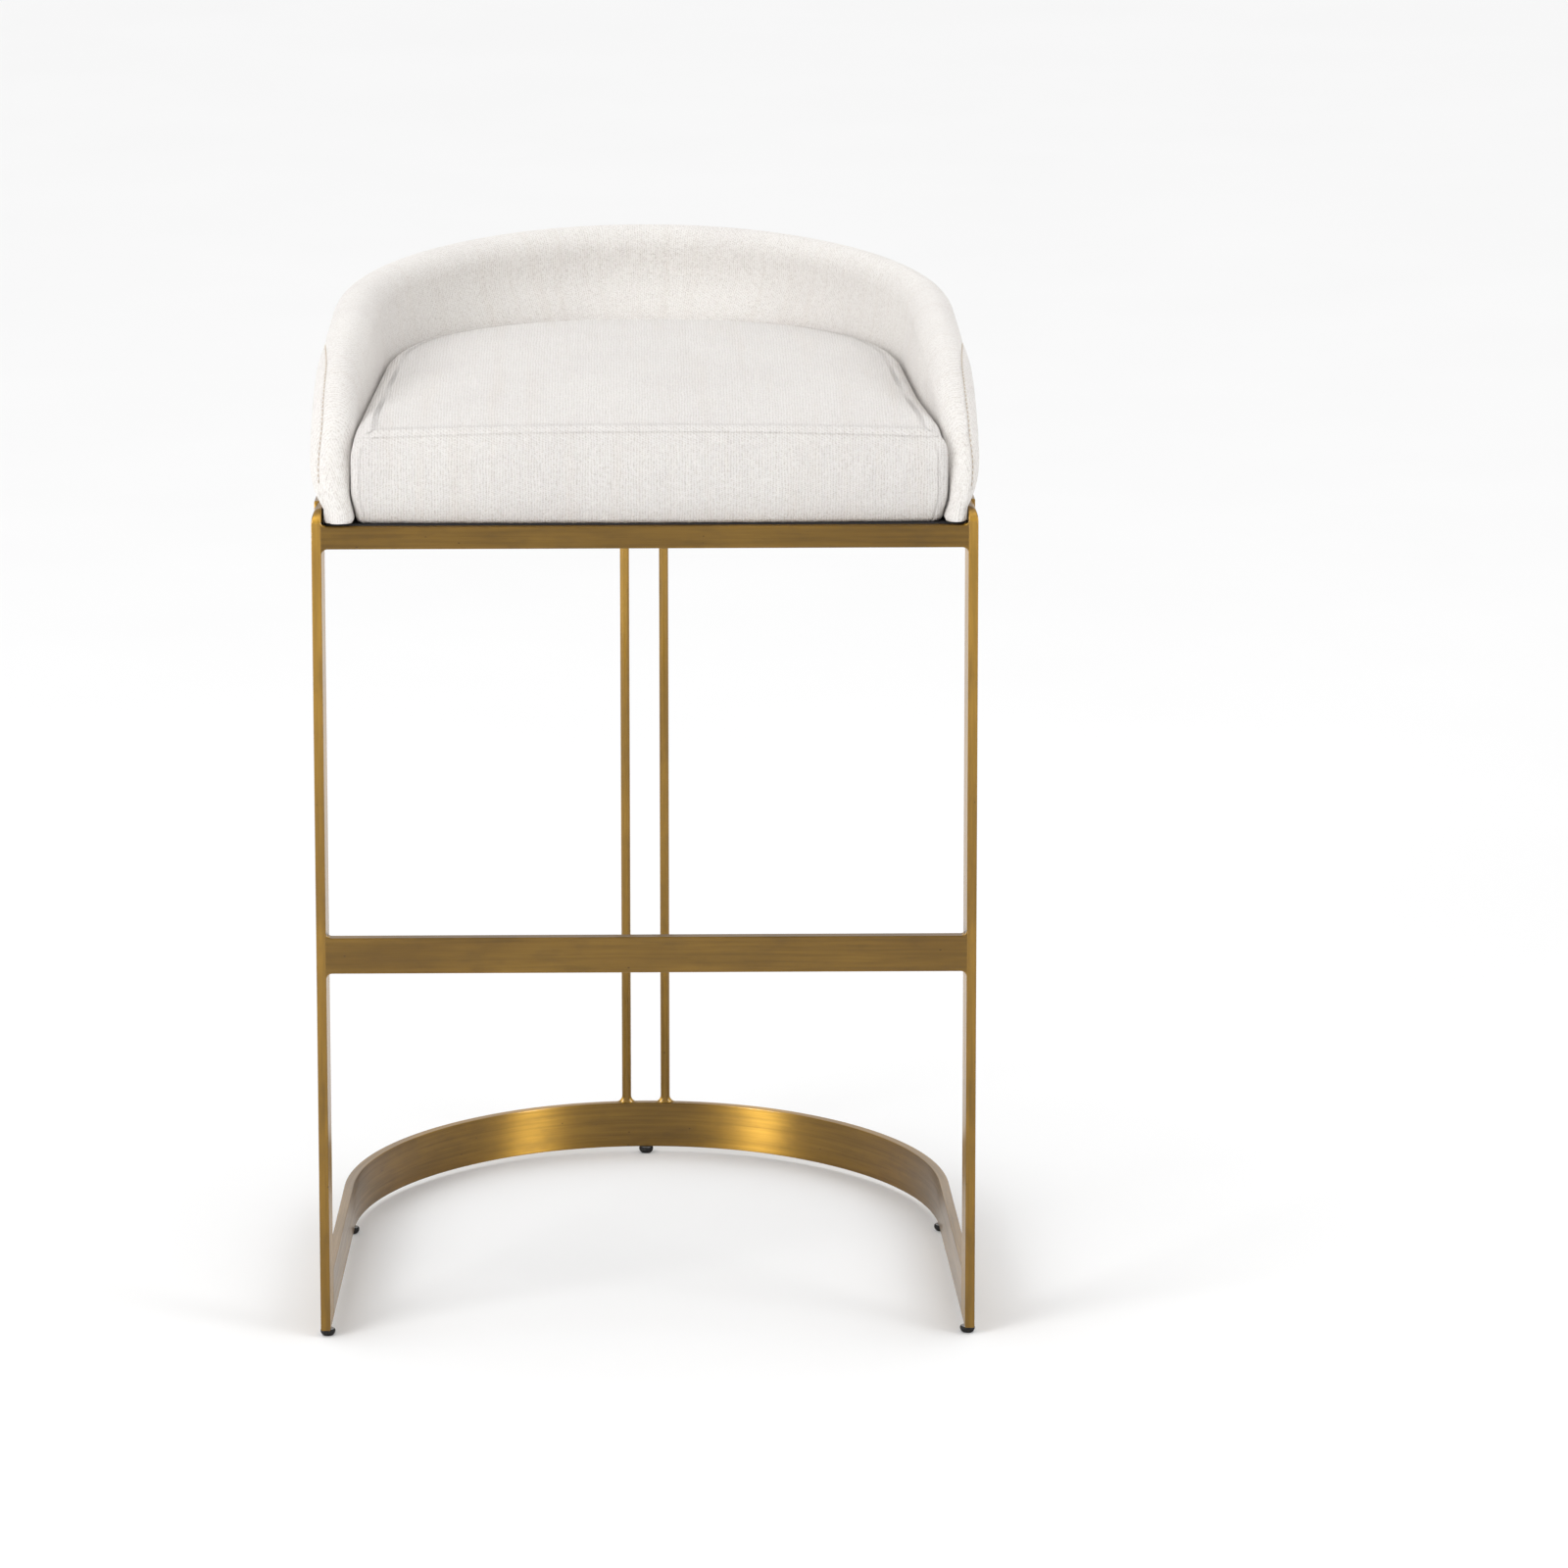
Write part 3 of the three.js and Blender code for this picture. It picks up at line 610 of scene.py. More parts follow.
def rod(name):
    """Round rod; each end flares sideways into the band that it is welded to."""
    low, high = box_mm(name)
    x, depth = (low[0] + high[0]) / 2, (low[1] + high[1]) / 2 + ROD_BEHIND
    bottom, top = low[2] - WELD_GAP, high[2] + WELD_GAP
    sunk = 0.5
    # The rod reaches the bands over the CAD's gap, and its ends are sunk a little into them.
    ends = [ROD_FLARE * (1 - math.cos(turn)) for turn in quarter(8)]
    heights = [bottom - sunk] + [bottom + e for e in ends]
    heights += list(np.linspace(low[2] + 30, high[2] - 30, 16))
    heights += [top - e for e in ends[::-1]] + [top + sunk]
    rings, lay = [], []
    sides = 32
    for z in heights:
        near = max(min(z - bottom, top - z, ROD_FLARE), 0)
        swell = ROD_FLARE - math.sqrt(ROD_FLARE**2 - (ROD_FLARE - near) ** 2)
        reach = ROD_RADIUS + swell
        thick = min(reach, BAR / 2 - 0.05)
        ring, lay_ring = [], []
        for i in range(sides):
            turn = 2 * math.pi * i / sides
            ring.append((x + reach * math.cos(turn), depth + thick * math.sin(turn), z))
            lay_ring.append((z, 60 + ROD_RADIUS * turn, x))
        rings.append(ring)
        lay.append(lay_ring)

    def cross(place, spot):
        return (depth - place[1], place[0] - x, 0)

    return loft(name + "_round", rings, lay, brass, cross=cross)


def bore(piece, glides):
    """Bore a bar from below for the studs of its glides."""
    holes = bmesh.new()
    for glide_name in glides:
        low, high = box_mm(glide_name + "_glide_stud")
        low[2], high[2] = BORE_START_Z, high[2] + 1
        x, depth, z = (low + high) / 2000
        bmesh.ops.create_cone(
            holes,
            cap_ends=True,
            segments=32,
            radius1=STUD_BORE / 1000,
            radius2=STUD_BORE / 1000,
            depth=(high[2] - low[2]) / 1000,
            matrix=Matrix.Translation((x, depth + FRONT_Y, z)),
        )
    drill = bpy.data.objects.new("drill", bpy.data.meshes.new("drill"))
    holes.to_mesh(drill.data)
    holes.free()
    blank = bpy.data.objects.new("blank", piece.data)
    for part in (drill, blank):
        bpy.context.scene.collection.objects.link(part)
    cut = blank.modifiers.new("cut", "BOOLEAN")
    cut.object, cut.operation, cut.solver = drill, "DIFFERENCE", "EXACT"
    bpy.context.view_layer.update()
    graph = bpy.context.evaluated_depsgraph_get()
    piece.data = bpy.data.meshes.new_from_object(blank.evaluated_get(graph))
    for part in (drill, blank):
        bpy.data.objects.remove(part)


# Up the pad: (height over its foot, radius, how deep its ribs are). Up the washer: (height, radius).
PAD_PROFILE = [(0, 2, 0), (0, 3.7, 0), (0.2, 4.4, 0.3), (0.7, 5.1, 0.7), (1.4, 5.7, 1)]
PAD_PROFILE += [(2.3, 6.2, 1), (3.4, 6.5, 1), (4.6, 6.4, 1), (5.2, 6.2, 0.4), (5.4, 5.6, 0), (5.4, 3, 0)]
PAD_RADIUS = 6.5
PAD_RIBS = 18
RIB_DEPTH = 0.3
WASHER_PROFILE = [(3, 0.5), (3, 2), (5.45, 2), (5.45, 4.9)]
WASHER_PROFILE += [(5.55, 5.1), (5.75, 5.1), (5.85, 4.9), (5.85, 2)]
THREAD_START_Z = 6.2
THREAD_PITCH = 0.8
THREAD_ROOT = 1.65
THREAD_CREST = 2


def glide(name):
    """Black dome with fine upright ribs, under a thin metal washer on a threaded stud."""
    low, high = box_mm(name + "_glide_pad")
    x, depth = (low[0] + high[0]) / 2, (low[1] + high[1]) / 2
    radius = (high[0] - low[0]) / 2
    sides = 72
    rings = []
    for z, reach, ribbed in PAD_PROFILE:
        ring = []
        for i in range(sides):
            turn = 2 * math.pi * i / sides
            rib = RIB_DEPTH * ribbed * (0.5 - 0.5 * math.cos(turn * PAD_RIBS))
            r = (reach - rib) * radius / PAD_RADIUS
            ring.append((x + r * math.cos(turn), depth + r * math.sin(turn), low[2] + z))
        rings.append(ring)
    pad = loft(name + "_pad_ribbed", rings, rings, black_plastic, body=name + "_glide")
    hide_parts(name + "_glide_pad")

    top = box_mm(name + "_glide_stud")[1][2]
    profile = list(WASHER_PROFILE)
    for i in range(int((top - 1 - THREAD_START_Z) / THREAD_PITCH)):
        z = THREAD_START_Z + i * THREAD_PITCH
        profile += [(z, THREAD_ROOT), (z + THREAD_PITCH / 2, THREAD_CREST)]
    profile += [(top - 0.6, THREAD_ROOT), (top, 1.3), (top, 0.4)]
    rings = []
    for z, r in profile:
        turns = [2 * math.pi * i / 24 for i in range(24)]
        rings.append([(x + r * math.cos(turn), depth + r * math.sin(turn), z) for turn in turns])
    stud = loft(name + "_stud_threaded", rings, rings, steel, body=name + "_glide")
    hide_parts(name + "_glide_stud")


for piece, node, glides in [
    (leg("left_leg", -1), "left_leg", ["front_left"]),
    (leg("right_leg", 1), "right_leg", ["front_right"]),
    (cross_bar("front_rail", 8), "front_rail", []),
    (cross_bar("footrest_bar", 10), "footrest_bar", []),
    (band("base_band", 1, 0), "base_band", ["middle_left", "middle_right", "rear"]),
    (band("seat_band", 0, 1), "seat_band", []),
    (rod("left_rear_rod"), "left_rear_rod", []),
    (rod("right_rear_rod"), "right_rear_rod", []),
]:
    if glides:
        bore(piece, glides)
    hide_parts(node)

for glide_name in ("front_left", "front_right", "middle_left", "middle_right", "rear"):
    glide(glide_name)


# ---- Swelling the padding ----


SWELL_VOXEL = 0.005
SWELL_PRESSURE = 4
SWELL_FRAMES = 20


def swell(piece, held, limit):
    """Blows the piece up as cloth round its padding, on a remeshed copy, and carries the result over.

    held gives how firmly a point (x, depth, z in millimetres) is sewn down, from 0 to 1. No point moves
    further than limit millimetres.
    """
    scene = bpy.context.scene
    copy = bpy.data.objects.new("swelling", piece.data.copy())
    scene.collection.objects.link(copy)
    remesh = copy.modifiers.new("remesh", "REMESH")
    remesh.mode = "VOXEL"
    remesh.voxel_size = SWELL_VOXEL
    graph = bpy.context.evaluated_depsgraph_get()
    copy.data = bpy.data.meshes.new_from_object(copy.evaluated_get(graph))
    copy.modifiers.clear()
    rest = [v.co.copy() for v in copy.data.vertices]
    group = copy.vertex_groups.new(name="held")
    for i, co in enumerate(rest):
        group.add([i], held(co.x * 1000, (co.y - FRONT_Y) * 1000, co.z * 1000), "REPLACE")
    cloth = copy.modifiers.new("cloth", "CLOTH")
    cloth.settings.quality = 4
    cloth.settings.mass = 0.3
    cloth.settings.tension_stiffness = 12
    cloth.settings.compression_stiffness = 12
    cloth.settings.shear_stiffness = 4
    cloth.settings.bending_stiffness = 0.4
    cloth.settings.use_pressure = True
    cloth.settings.uniform_pressure_force = SWELL_PRESSURE
    cloth.settings.vertex_group_mass = "held"
    cloth.settings.effector_weights.gravity = 0
    cloth.collision_settings.use_collision = False
    cloth.point_cache.frame_start, cloth.point_cache.frame_end = 1, SWELL_FRAMES
    for step in range(1, SWELL_FRAMES + 1):
        scene.frame_set(step)
    swollen = copy.evaluated_get(bpy.context.evaluated_depsgraph_get()).to_mesh()
    moves = [v.co - co for v, co in zip(swollen.vertices, rest)]
    faces = [tuple(face.vertices) for face in copy.data.polygons]
    tree = BVHTree.FromPolygons(rest, faces)
    for vertex in piece.data.vertices:
        spot, _, index, _ = tree.find_nearest(vertex.co)
        corners = faces[index]
        weights = poly_3d_calc([rest[c] for c in corners], spot)
        move = sum((moves[c] * w for c, w in zip(corners, weights)), Vector())
        if move.length > limit / 1000:
            move *= limit / 1000 / move.length
        vertex.co += move
    scene.frame_set(1)
    bpy.data.objects.remove(copy)


def stitches(name, line, material, length=3.0, gap=1.6, thickness=0.45):
    """Thread stitches along a line of (point, outward) pairs in millimetres."""
    spots = [np.array(point) for point, _ in line]
    outs = [np.array(out) for _, out in line]
    travelled = np.concatenate([[0], np.cumsum([math.dist(a, b) for a, b in zip(spots, spots[1:])])])

    def at(distance):
        i = min(int(np.searchsorted(travelled, distance)), len(spots) - 1)
        i = max(i, 1)
        t = (distance - travelled[i - 1]) / max(travelled[i] - travelled[i - 1], 1e-6)
        return lerp(spots[i - 1], spots[i], t), lerp(outs[i - 1], outs[i], t)

    # Each row's share of the stitch's length, and its width.
    rows = [(0, 0.1), (0.12, 0.75), (0.5, 1), (0.88, 0.75), (1, 0.1)]
    sides = 6
    points, faces, lay = [], [], []
    start = 0
    while start + length < travelled[-1]:
        base = len(points)
        head, tail = at(start)[0], at(start + length)[0]
        along = (tail - head) / np.linalg.norm(tail - head)
        for part, width in rows:
            spot, out = at(start + length * part)
            out = out / np.linalg.norm(out)
            beside = np.cross(along, out)
            arch = 0.35 * math.sin(math.pi * part)
            for k in range(sides):
                turn = 2 * math.pi * k / sides
                offset = beside * math.cos(turn) + out * (math.sin(turn) * 0.8)
                points.append(tuple(spot + out * arch + offset * thickness * width))
                lay.append((start + length * part, turn, 0))
        faces += [tuple(base + i for i in face) for face in loft_faces(len(rows), sides)]
        start += length + gap
    return make_piece(name, points, faces, lay, material, sharp=False)


# ---- Back and arms ----


def rim_height(depth):
    """The rim springs from the nose of the arm on a superellipse, then rises gently to the rear."""
    ahead = min(max(0, 1 - depth / ARM_RUN), 1)
    arch = (1 - ahead**ARM_ROUNDNESS) ** (1 / ARM_ROUNDNESS)
    back = max(0, (depth - ARM_RUN) / (DEPTH - ARM_RUN))
    return SEAT_Z + (RIM_ARM_Z - SEAT_Z) * arch + (RIM_REAR_Z - RIM_ARM_Z) * back


def bump(value, low, start, end, high):
    """Zero outside low and high, one between start and end, with smooth flanks."""
    return smoothstep(value, low, start) * (1 - smoothstep(value, end, high))


# How far the cushion's front corners press into the arms at the hem and at its belly, and what its
# place a little to the right adds to that on the right and takes off on the left.
PUSH = {"hem": 1.5, "belly": 4.4}
PUSH_SHIFT = {"hem": 3.5, "belly": 2.5}
PUSH_CORNER = 1.5


def cushion_push(run, z):
    """How far the cushion presses into the arm, which fades out behind its front corner."""
    side = -1 if run > HALF_RUN else 1
    short = from_front(run)
    belly = bump(z, SEAT_Z, 712, 742, 770)
    fade = (1 - smoothstep(short, 18, 125 + 50 * side)) * (1 - smoothstep(z, 760, 792))
    corner = PUSH_CORNER * (1 + side) * (1 - smoothstep(short, 15, 26)) * smoothstep(z, SEAT_Z, 705)
    push = lerp(PUSH["hem"], PUSH["belly"], belly)
    shift = lerp(PUSH_SHIFT["hem"], PUSH_SHIFT["belly"], belly)
    return (push + shift * side + corner) * fade


def inner_inset(run):
    """Inset of the inner face beside the cushion: the padding thickens towards the rear."""
    short = from_front(run)
    return ARM_THICKNESS + 0.03 * short + REAR_THICKENING * smoothstep(short, 400, HALF_RUN)


def outer_inset(run, z):
    """The outer face is tucked inside the seat band and swells over it."""
    part = min(max((z - BAND_TOP) / SWELL_HEIGHT, 0), 1)
    tuck = ARM_TUCK - RIGHT_ARM_EASE * (1 - smoothstep(run, 4, 30))
    return lerp(tuck, -ARM_BULGE * abs(outline(run)[1][0]), 1 - (1 - part) ** 2.5)


def leaning_inset(run, z):
    """The inner face gives way to the cushion, then leans back from its edge to the rim."""
    short = from_front(run)
    lean = min(max((z - LEAN_START_Z) / (RIM_ARM_Z - RIM_HEIGHT - LEAN_START_Z), 0), 1)
    return lerp(inner_inset(run), RIM_INSET + 0.0125 * short, lean) - cushion_push(run, z)


# How far below the rim's crest the outer panel is sewn on, and the runs between which that changes.
PANEL_SEAM = {"arm": 3, "rear": 19.5}
PANEL_SEAM_CHANGE = (90, 260)
SEAM_DEPTH = 1.5
SEAM_WIDTH = 0.9
PANEL_SWELL = 1.5


def crest_stations():
    """(run, height, run of the foot) along the crest, from the arm's nose to the middle of the rear.

    The stations crowd where the nose is steep, and their feet fan out behind it.
    """
    stations = []
    for i in range(64):
        turn = (i / 64) ** 1.25 * 1.26
        depth = ARM_RUN * (1 - math.cos(turn) ** (2 / ARM_ROUNDNESS))
        stations.append(NOSE_RUN + depth * (1 - NOSE_RUN / ARM_RUN))
    stations += list(np.linspace(stations[-1], HALF_RUN, 170)[1:])
    result = []
    for run in stations:
        height = rim_height(outline(run)[0][1] - NOSE_RUN * (1 - min(run / ARM_RUN, 1)))
        foot = run + FAN * (1 - min((run - NOSE_RUN) / FAN_RUN, 1)) ** 2
        result.append((run, height, foot))
    return result


def panel_seam(run):
    """How far below the crest the outer panel is sewn on: close to it on the arm, lower at the rear."""
    return lerp(PANEL_SEAM["arm"], PANEL_SEAM["rear"], smoothstep(run, *PANEL_SEAM_CHANGE))


def section_steps(length, rim, seam):
    """Distances from the crest down to the foot, close together round the rim, the seam and the hem."""
    steps = [rim * (1 - math.sin(turn)) for turn in quarter(9)[:0:-1]]
    steps += [seam + e for e in (-2.2, -1.3, -0.7, -0.3, 0, 0.3, 0.7, 1.3, 2.4)]
    steps = sorted(steps + [rim + 0.3])
    tail = [length - FOOT_ROUND * (1 - math.cos(turn)) for turn in quarter(4)[::-1]]
    start = steps[-1]
    return steps + [lerp(start, tail[0], i / 12) for i in range(1, 12)] + tail


def shell_rings():
    """Rings up the outer face and down the inner one, their lay, and the line of the panel's stitches."""
    rings, lay, sewing = [], [], []
    half = crest_stations()
    both = [(s, 1) for s in half] + [(s, -1) for s in half[-2::-1]]
    for (run, height, foot), side in both:
        crest, base = np.array([run, height]), np.array([foot, SEAT_Z])
        length = math.dist(crest, base)
        rim = lerp(RIM_HEIGHT_AT_FOOT, RIM_HEIGHT, smoothstep(height, 700, 770))
        seam = panel_seam(run)
        steps = section_steps(length, rim, seam)
        ring, lay_ring = [], []
        order = [(d, -1) for d in steps[::-1]] + [(d, 1) for d in steps[1:]]
        for distance, face in order:
            steep = 1 - min(distance / rim, 1)
            width = math.sqrt(max(0, 1 - steep**2))
            beyond = distance - seam
            groove = 0
            if face < 0:
                groove = SEAM_DEPTH * math.exp(-((beyond / SEAM_WIDTH) ** 2)) * smoothstep(length, 40, 50)
            spot = lerp(crest, base, (distance + groove * steep) / length)
            real_run = run_on_side(spot[0], side)
            outer, inner = outer_inset(real_run, spot[1]), leaning_inset(real_run, spot[1])
            middle, reach = (outer + inner) / 2, (inner - outer) / 2
            offset = groove * width
            above = SEAT_Z + FOOT_ROUND - spot[1]
            if above > 0:
                width -= (FOOT_ROUND - math.sqrt(max(0, FOOT_ROUND**2 - above**2))) / reach
            offset += face * reach * max(width, 0)
            if face < 0:
                clear = smoothstep(spot[1], BAND_TOP, BAND_TOP + 14)
                offset -= PANEL_SWELL * smoothstep(beyond, 0.5, 14) * clear
            inset = middle + offset
            ring.append(inset_point(real_run, inset, spot[1]))
            around = abs(offset) * (1 - smoothstep(spot[0], 8, 45))
            lay_ring.append((real_run + (around if side > 0 else -around), distance * face, 0))
            if face < 0 and abs(beyond) < 1e-6 and height > 716:
                out = outline(real_run)[1]
                lift = 0.5 * steep * (crest - base) / length
                along = lift[0] if side > 0 else -lift[0]
                thread_spot = inset_point(real_run + along, inset - 0.5 * width, spot[1] + lift[1])
                sewing.append((thread_spot, (out[0], out[1], 0)))
        rings.append(ring)
        lay.append(lay_ring)
    return rings, lay, sewing


OUTLINE = [tuple(outline(run)[0]) for run in np.linspace(0, HALF_RUN, 60)]


def shell_held(x, depth, z):
    """Sewn down at the hem, and backed by the cushion below its seam."""
    if z < BAND_TOP + 8:
        return 1
    near = min(OUTLINE, key=lambda spot: abs(spot[0] - abs(x)) + abs(spot[1] - depth))
    inside = near[0] - abs(x) > 16 or near[1] - depth > 16
    if inside and z < LEAN_START_Z + 8:
        return 1
    return 0.12


def back_cover():
    """The sewn cover of the low back and the arms, over its padding."""
    rings, lay, seam = shell_rings()
    piece = loft("back_upholstery", rings, lay, back_cloth_painted_lighter, sharp=False)
    swell(piece, shell_held, 2.5)
    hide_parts("back_cover", "back_padding")
    sewn = stitches("back_panel_stitches", seam, thread)


back_cover()

# ---- Cushion ----

CORNER_RUN = 18
CORNER_IN = 8
CUSHION_CLEARANCE = 0.7
HEM_ROUND = 3.5
EDGE_ROUND = 15
CUSHION_SEAM_DEPTH = 1.8
CUSHION_SEAM_WIDTH = 0.8
CORNER_SEAM_DEPTH = 1.4
CORNER_SEAM_WIDTH = 0.7
FRONT_PUFF = 4.5
FRONT_SWAY = 3.0
# How far the whole front seam has settled, and how far its middle stands up again from its ends.
SEAM_SETTLE = 8
SEAM_RISE = 6
PLAN_SPACING = 5
CROWN_CENTRE = np.array([0, DEPTH * 0.43])
CROWN_REACH = np.array([215, 235])
CROWN_ROWS = 46
CROWN_SMOOTHING = 80


def cushion_line(z, inset):
    """Closed plan of the cushion at a height, from the middle of the front round by the right."""
    steps = int((HALF_RUN - CORNER_RUN) / PLAN_SPACING)
    halves = []
    for side in (1, -1):
        flank = []
        for run in np.linspace(CORNER_RUN, HALF_RUN, steps):
            real_run = run_on_side(run, side)
            away = inner_inset(real_run) + CUSHION_CLEARANCE + inset - cushion_push(real_run, z)
            flank.append(np.array(inset_point(real_run, away, 0)[:2]))
        corner = flank[0]
        reach = corner[1] - CUSHION_FRONT - inset
        rounded = []
        for turn in quarter(8)[1:]:
            along = CORNER_IN * (1 - math.cos(turn))
            rounded.append(corner - [side * along, reach * math.sin(turn)])
        width, depth = abs(rounded[-1][0]), rounded[-1][1]
        places = [*np.linspace(0, width - 3, 58), *(width - e for e in (2, 1.3, 0.8, 0.4))]
        straight = [np.array([side * x, depth]) for x in places]
        halves.append(straight + rounded[::-1] + flank)
    return halves[0] + halves[1][-2:0:-1]


def cushion_profile():
    """(inset, height) from the hem up the side and over the rounded edge, close together at the seam."""
    profile = []
    for turn in quarter(4)[:-1]:
        profile.append((HEM_ROUND * (1 - math.sin(turn)), SEAT_Z + HEM_ROUND * (1 - math.cos(turn))))
    corner_z = CUSHION_SEAM_Z + EDGE_ROUND * (1 - math.sqrt(0.5))
    for i in range(15):
        profile.append((0, lerp(SEAT_Z + HEM_ROUND, corner_z - EDGE_ROUND, i / 14)))
    seam_turns = [math.pi / 4 + e for e in (-0.12, -0.05, 0.05, 0.12)]
    for turn in sorted(quarter(10)[1:-1] + seam_turns):
        inset = EDGE_ROUND * (1 - math.cos(turn))
        profile.append((inset, corner_z - EDGE_ROUND + EDGE_ROUND * math.sin(turn)))
    return profile


def side_rings():
    """Rings up the cushion's side. Its front face puffs out, sways back at its ends and sags there."""
    rings, lay = [], []
    for inset, z in cushion_profile():
        sink = CUSHION_SEAM_DEPTH * math.exp(-(((z - CUSHION_SEAM_Z) / CUSHION_SEAM_WIDTH) ** 2))
        part = min(max((z - SEAT_Z) / (CUSHION_SEAM_Z - SEAT_Z), 0), 1)
        puff = math.sin(math.pi * part)
        plan = cushion_line(z, inset + sink)
        front_row = [x for x, depth in plan if depth <= plan[0][1] + 1e-6]
        left, right = min(front_row), max(front_row)
        ring = []
        for x, depth in plan:
            front = 1 - smoothstep(depth, CUSHION_FRONT, CUSHION_FRONT + 2 * CORNER_RUN)
            sway = FRONT_SWAY * (abs(x) / 230) ** 2 * (1 - puff)
            rise = SEAM_RISE * (1 - (x / 235) ** 2)
            lift = (rise - SEAM_SETTLE) * front * smoothstep(z, 700, CUSHION_SEAM_Z)
            from_corner = min(abs(x - right), abs(x - left))
            sewn = CORNER_SEAM_DEPTH * math.exp(-((from_corner / CORNER_SEAM_WIDTH) ** 2))
            sewn *= 1 - smoothstep(z, 752, 758)
            ragged = 0.5 * math.sin(x * 1.7) * math.sin(x * 0.37 + 1) if z < SEAT_Z + 1 else 0
            ring.append((x, depth + (sway - FRONT_PUFF * puff + sewn) * front, z + lift - abs(ragged)))
        rings.append(ring)
        lay.append([(x, z, 0) for x, _, _ in ring])
    return rings, lay


def cushion():
    """The box cushion's cover over its foam: sewn side, and a crown drawn smooth over it."""
    rings, lay = side_rings()
    edge = rings[-1]
    for i in range(1, CROWN_ROWS):
        part = 1 - i / CROWN_ROWS
        ring = []
        for x, depth, z in edge:
            away = np.array([x, depth]) - CROWN_CENTRE
            distance = np.linalg.norm(away)
            ahead = np.abs(away / distance) / CROWN_REACH
            smooth = (ahead**2.5).sum() ** (-1 / 2.5)
            reach = lerp(distance, smooth, smoothstep(1 - part, 0.02, 0.6))
            q = CROWN_CENTRE + away / distance * reach * part
            level = z + (CUSHION_SEAM_Z + CUSHION_CROWN - z) * (1 - part**2.3)
            ring.append((q[0], q[1], level))
        rings.append(ring)
    first = len(rings) - CROWN_ROWS
    crown = np.array(rings[first:])
    for _ in range(CROWN_SMOOTHING):
        beside = np.roll(crown, 1, axis=1) + np.roll(crown, -1, axis=1)
        mean = (crown[:-2] + crown[2:] + beside[1:-1]) / 4
        crown[1:-1] = crown[1:-1] * 0.4 + mean * 0.6
    rings[first:] = [[tuple(point) for point in ring] for ring in crown]
    lay += [[(p[0], CUSHION_SEAM_Z + p[1], 0) for p in ring] for ring in rings[first + 1 :]]
    piece = loft("seat_cushion", rings, lay, cushion_cloth, sharp=False)
    swell(piece, cushion_held, 3)
    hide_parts("seat_cover", "seat_foam")


def cushion_held(x, depth, z):
    """Sewn at the hem and along the seam, and held by the back all round below it."""
    if z < SEAT_Z + 4:
        return 1
    if z < CUSHION_SEAM_Z and depth > 3 * CORNER_RUN:
        return 1
    return 0.6 if abs(z - CUSHION_SEAM_Z) < 4 else 0.1


cushion()

# ---- Finishes of the CAD nodes that stay ----

slots = {entry["node"]: entry["material_slot"] for entry in frame["record"]["subparts"]}
for node, shown in frame["nodes"].items():
    finish = CAD_FINISHES.get(slots[node])
    if finish is not None:
        shown.data.materials.clear()
        shown.data.materials.append(finish)

# ---- Room ----


def floor():
    """A plain pale floor that runs out of sight."""
    mesh = bpy.data.meshes.new("studio_floor")
    reach = 30
    corners = [(-reach, -reach, 0), (reach, -reach, 0), (reach, reach, 0), (-reach, reach, 0)]
    mesh.from_pydata(corners, [], [(0, 1, 2, 3)])
    n = Nodes("floor_paint")
    mottle = n.noise(n.object_place(), 3, 3)
    colour = n.mix(n.between(mottle, 0.3, 0.7, 0, 1), (0.865, 0.865, 0.865, 1), (0.875, 0.875, 0.875, 1))
    mesh.materials.append(n.finish(Base_Color=colour, Roughness=0.9, Specular_IOR_Level=0.1))
    plane = bpy.data.objects.new("studio_floor", mesh)
    bpy.context.scene.collection.objects.link(plane)


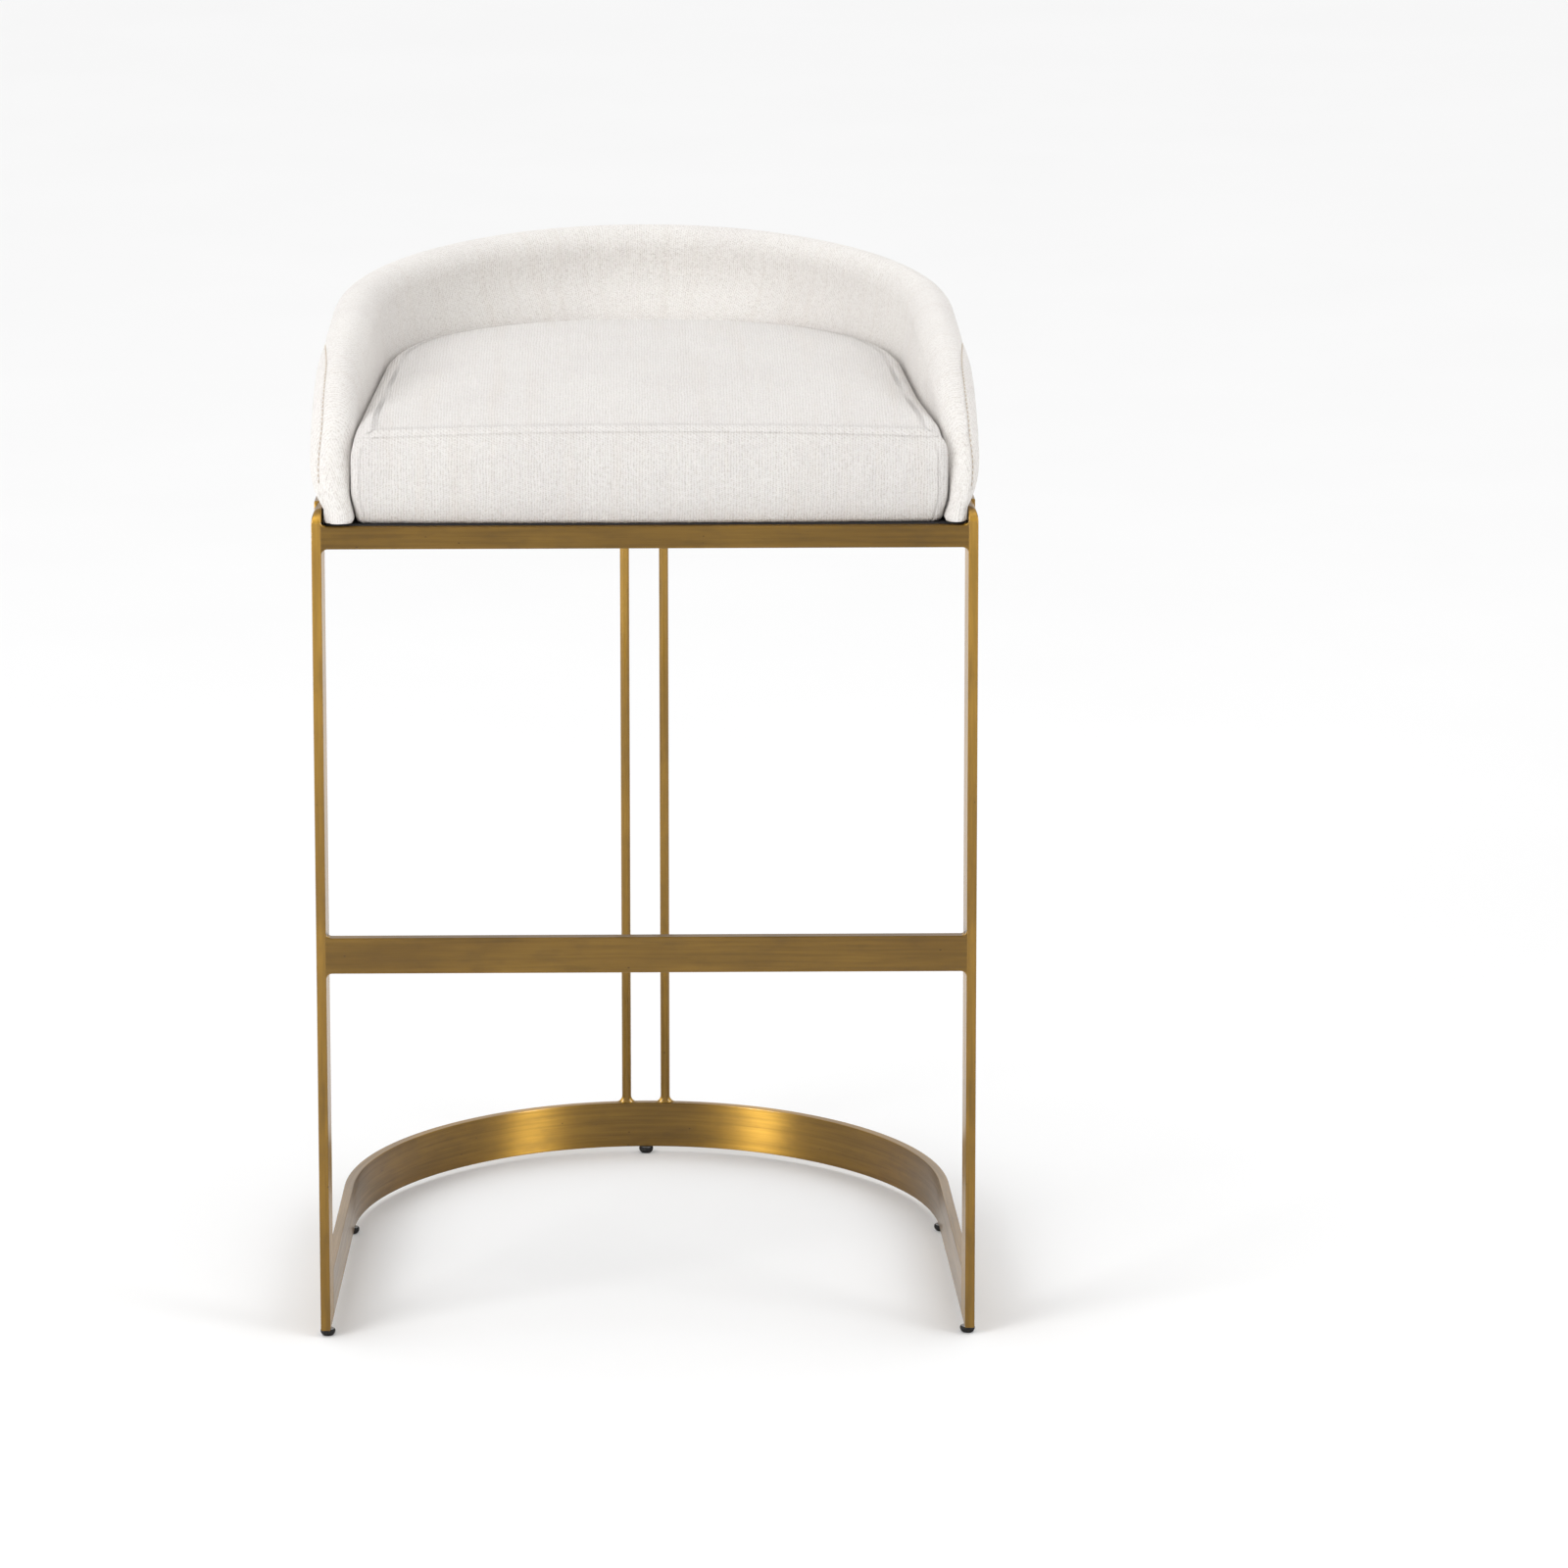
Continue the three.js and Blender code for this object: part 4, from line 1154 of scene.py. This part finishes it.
def softbox(name, place, target, size, power):
    """A rectangular studio light at a place, turned to a target."""
    light = bpy.data.lights.new(name, "AREA")
    light.shape = "RECTANGLE"
    light.size, light.size_y = size
    light.energy = power
    lamp = bpy.data.objects.new(name, light)
    lamp.location = place
    lamp.rotation_euler = (Vector(target) - Vector(place)).to_track_quat("-Z", "Y").to_euler()
    bpy.context.scene.collection.objects.link(lamp)
    return lamp


def world():
    """A white room that is brightest overhead and behind the stool."""
    sky = bpy.data.worlds.new("studio")
    sky.use_nodes = True
    tree = sky.node_tree
    background = tree.nodes["Background"]
    place = tree.nodes.new("ShaderNodeTexCoord")
    tilt = tree.nodes.new("ShaderNodeVectorMath")
    tilt.operation = "DOT_PRODUCT"
    ramp = tree.nodes.new("ShaderNodeMapRange")
    tree.links.new(place.outputs["Generated"], tilt.inputs[0])
    tilt.inputs[1].default_value = (0, 0.25, 1)
    tree.links.new(tilt.outputs["Value"], ramp.inputs["Value"])
    ramp.inputs["From Min"].default_value = 0.15
    ramp.inputs["From Max"].default_value = 0.7
    ramp.inputs["To Min"].default_value = 0.3
    ramp.inputs["To Max"].default_value = 1.27
    tree.links.new(ramp.outputs["Result"], background.inputs["Strength"])
    background.inputs["Color"].default_value = (1, 1, 1, 1)
    bpy.context.scene.world = sky


def camera():
    """The photographer's place: straight in front, a little above the seat, with a long lens."""
    data = bpy.data.cameras.new("photo_camera")
    data.sensor_width = 36
    data.lens = 214.757
    data.clip_end = 100
    eye = bpy.data.objects.new("photo_camera", data)
    eye.location = (-0.013412, FRONT_Y - 7.401, 2.273017)
    eye.rotation_euler = (math.pi / 2 - 0.239, 0, -0.017)
    bpy.context.scene.collection.objects.link(eye)
    bpy.context.scene.camera = eye


floor()
# A broad key from the left, and a weaker fill from the right.
softbox("key", (-2.5, -2.5, 1.9), (0, 0, 0.6), (1.6, 1.6), 56)
softbox("fill", (2.6, -1.9, 2.2), (0, 0, 0.5), (1.2, 1.6), 20)
# Two low strips that only the brass mirrors, as bright patches on the curve of the base.
for strip, x, power in (("left_strip", -2.43, 100), ("right_strip", 2.43, 70)):
    lamp = softbox(strip, (x, -1.77, 0.95), (0, 0, 0.25), (0.8, 1.7), power)
    lamp.data.color = (0.95, 1, 1.15)
    lamp.visible_diffuse = False
    lamp.data.cycles.max_bounces = 0
world()
camera()
bpy.context.scene.view_settings.view_transform = "Standard"
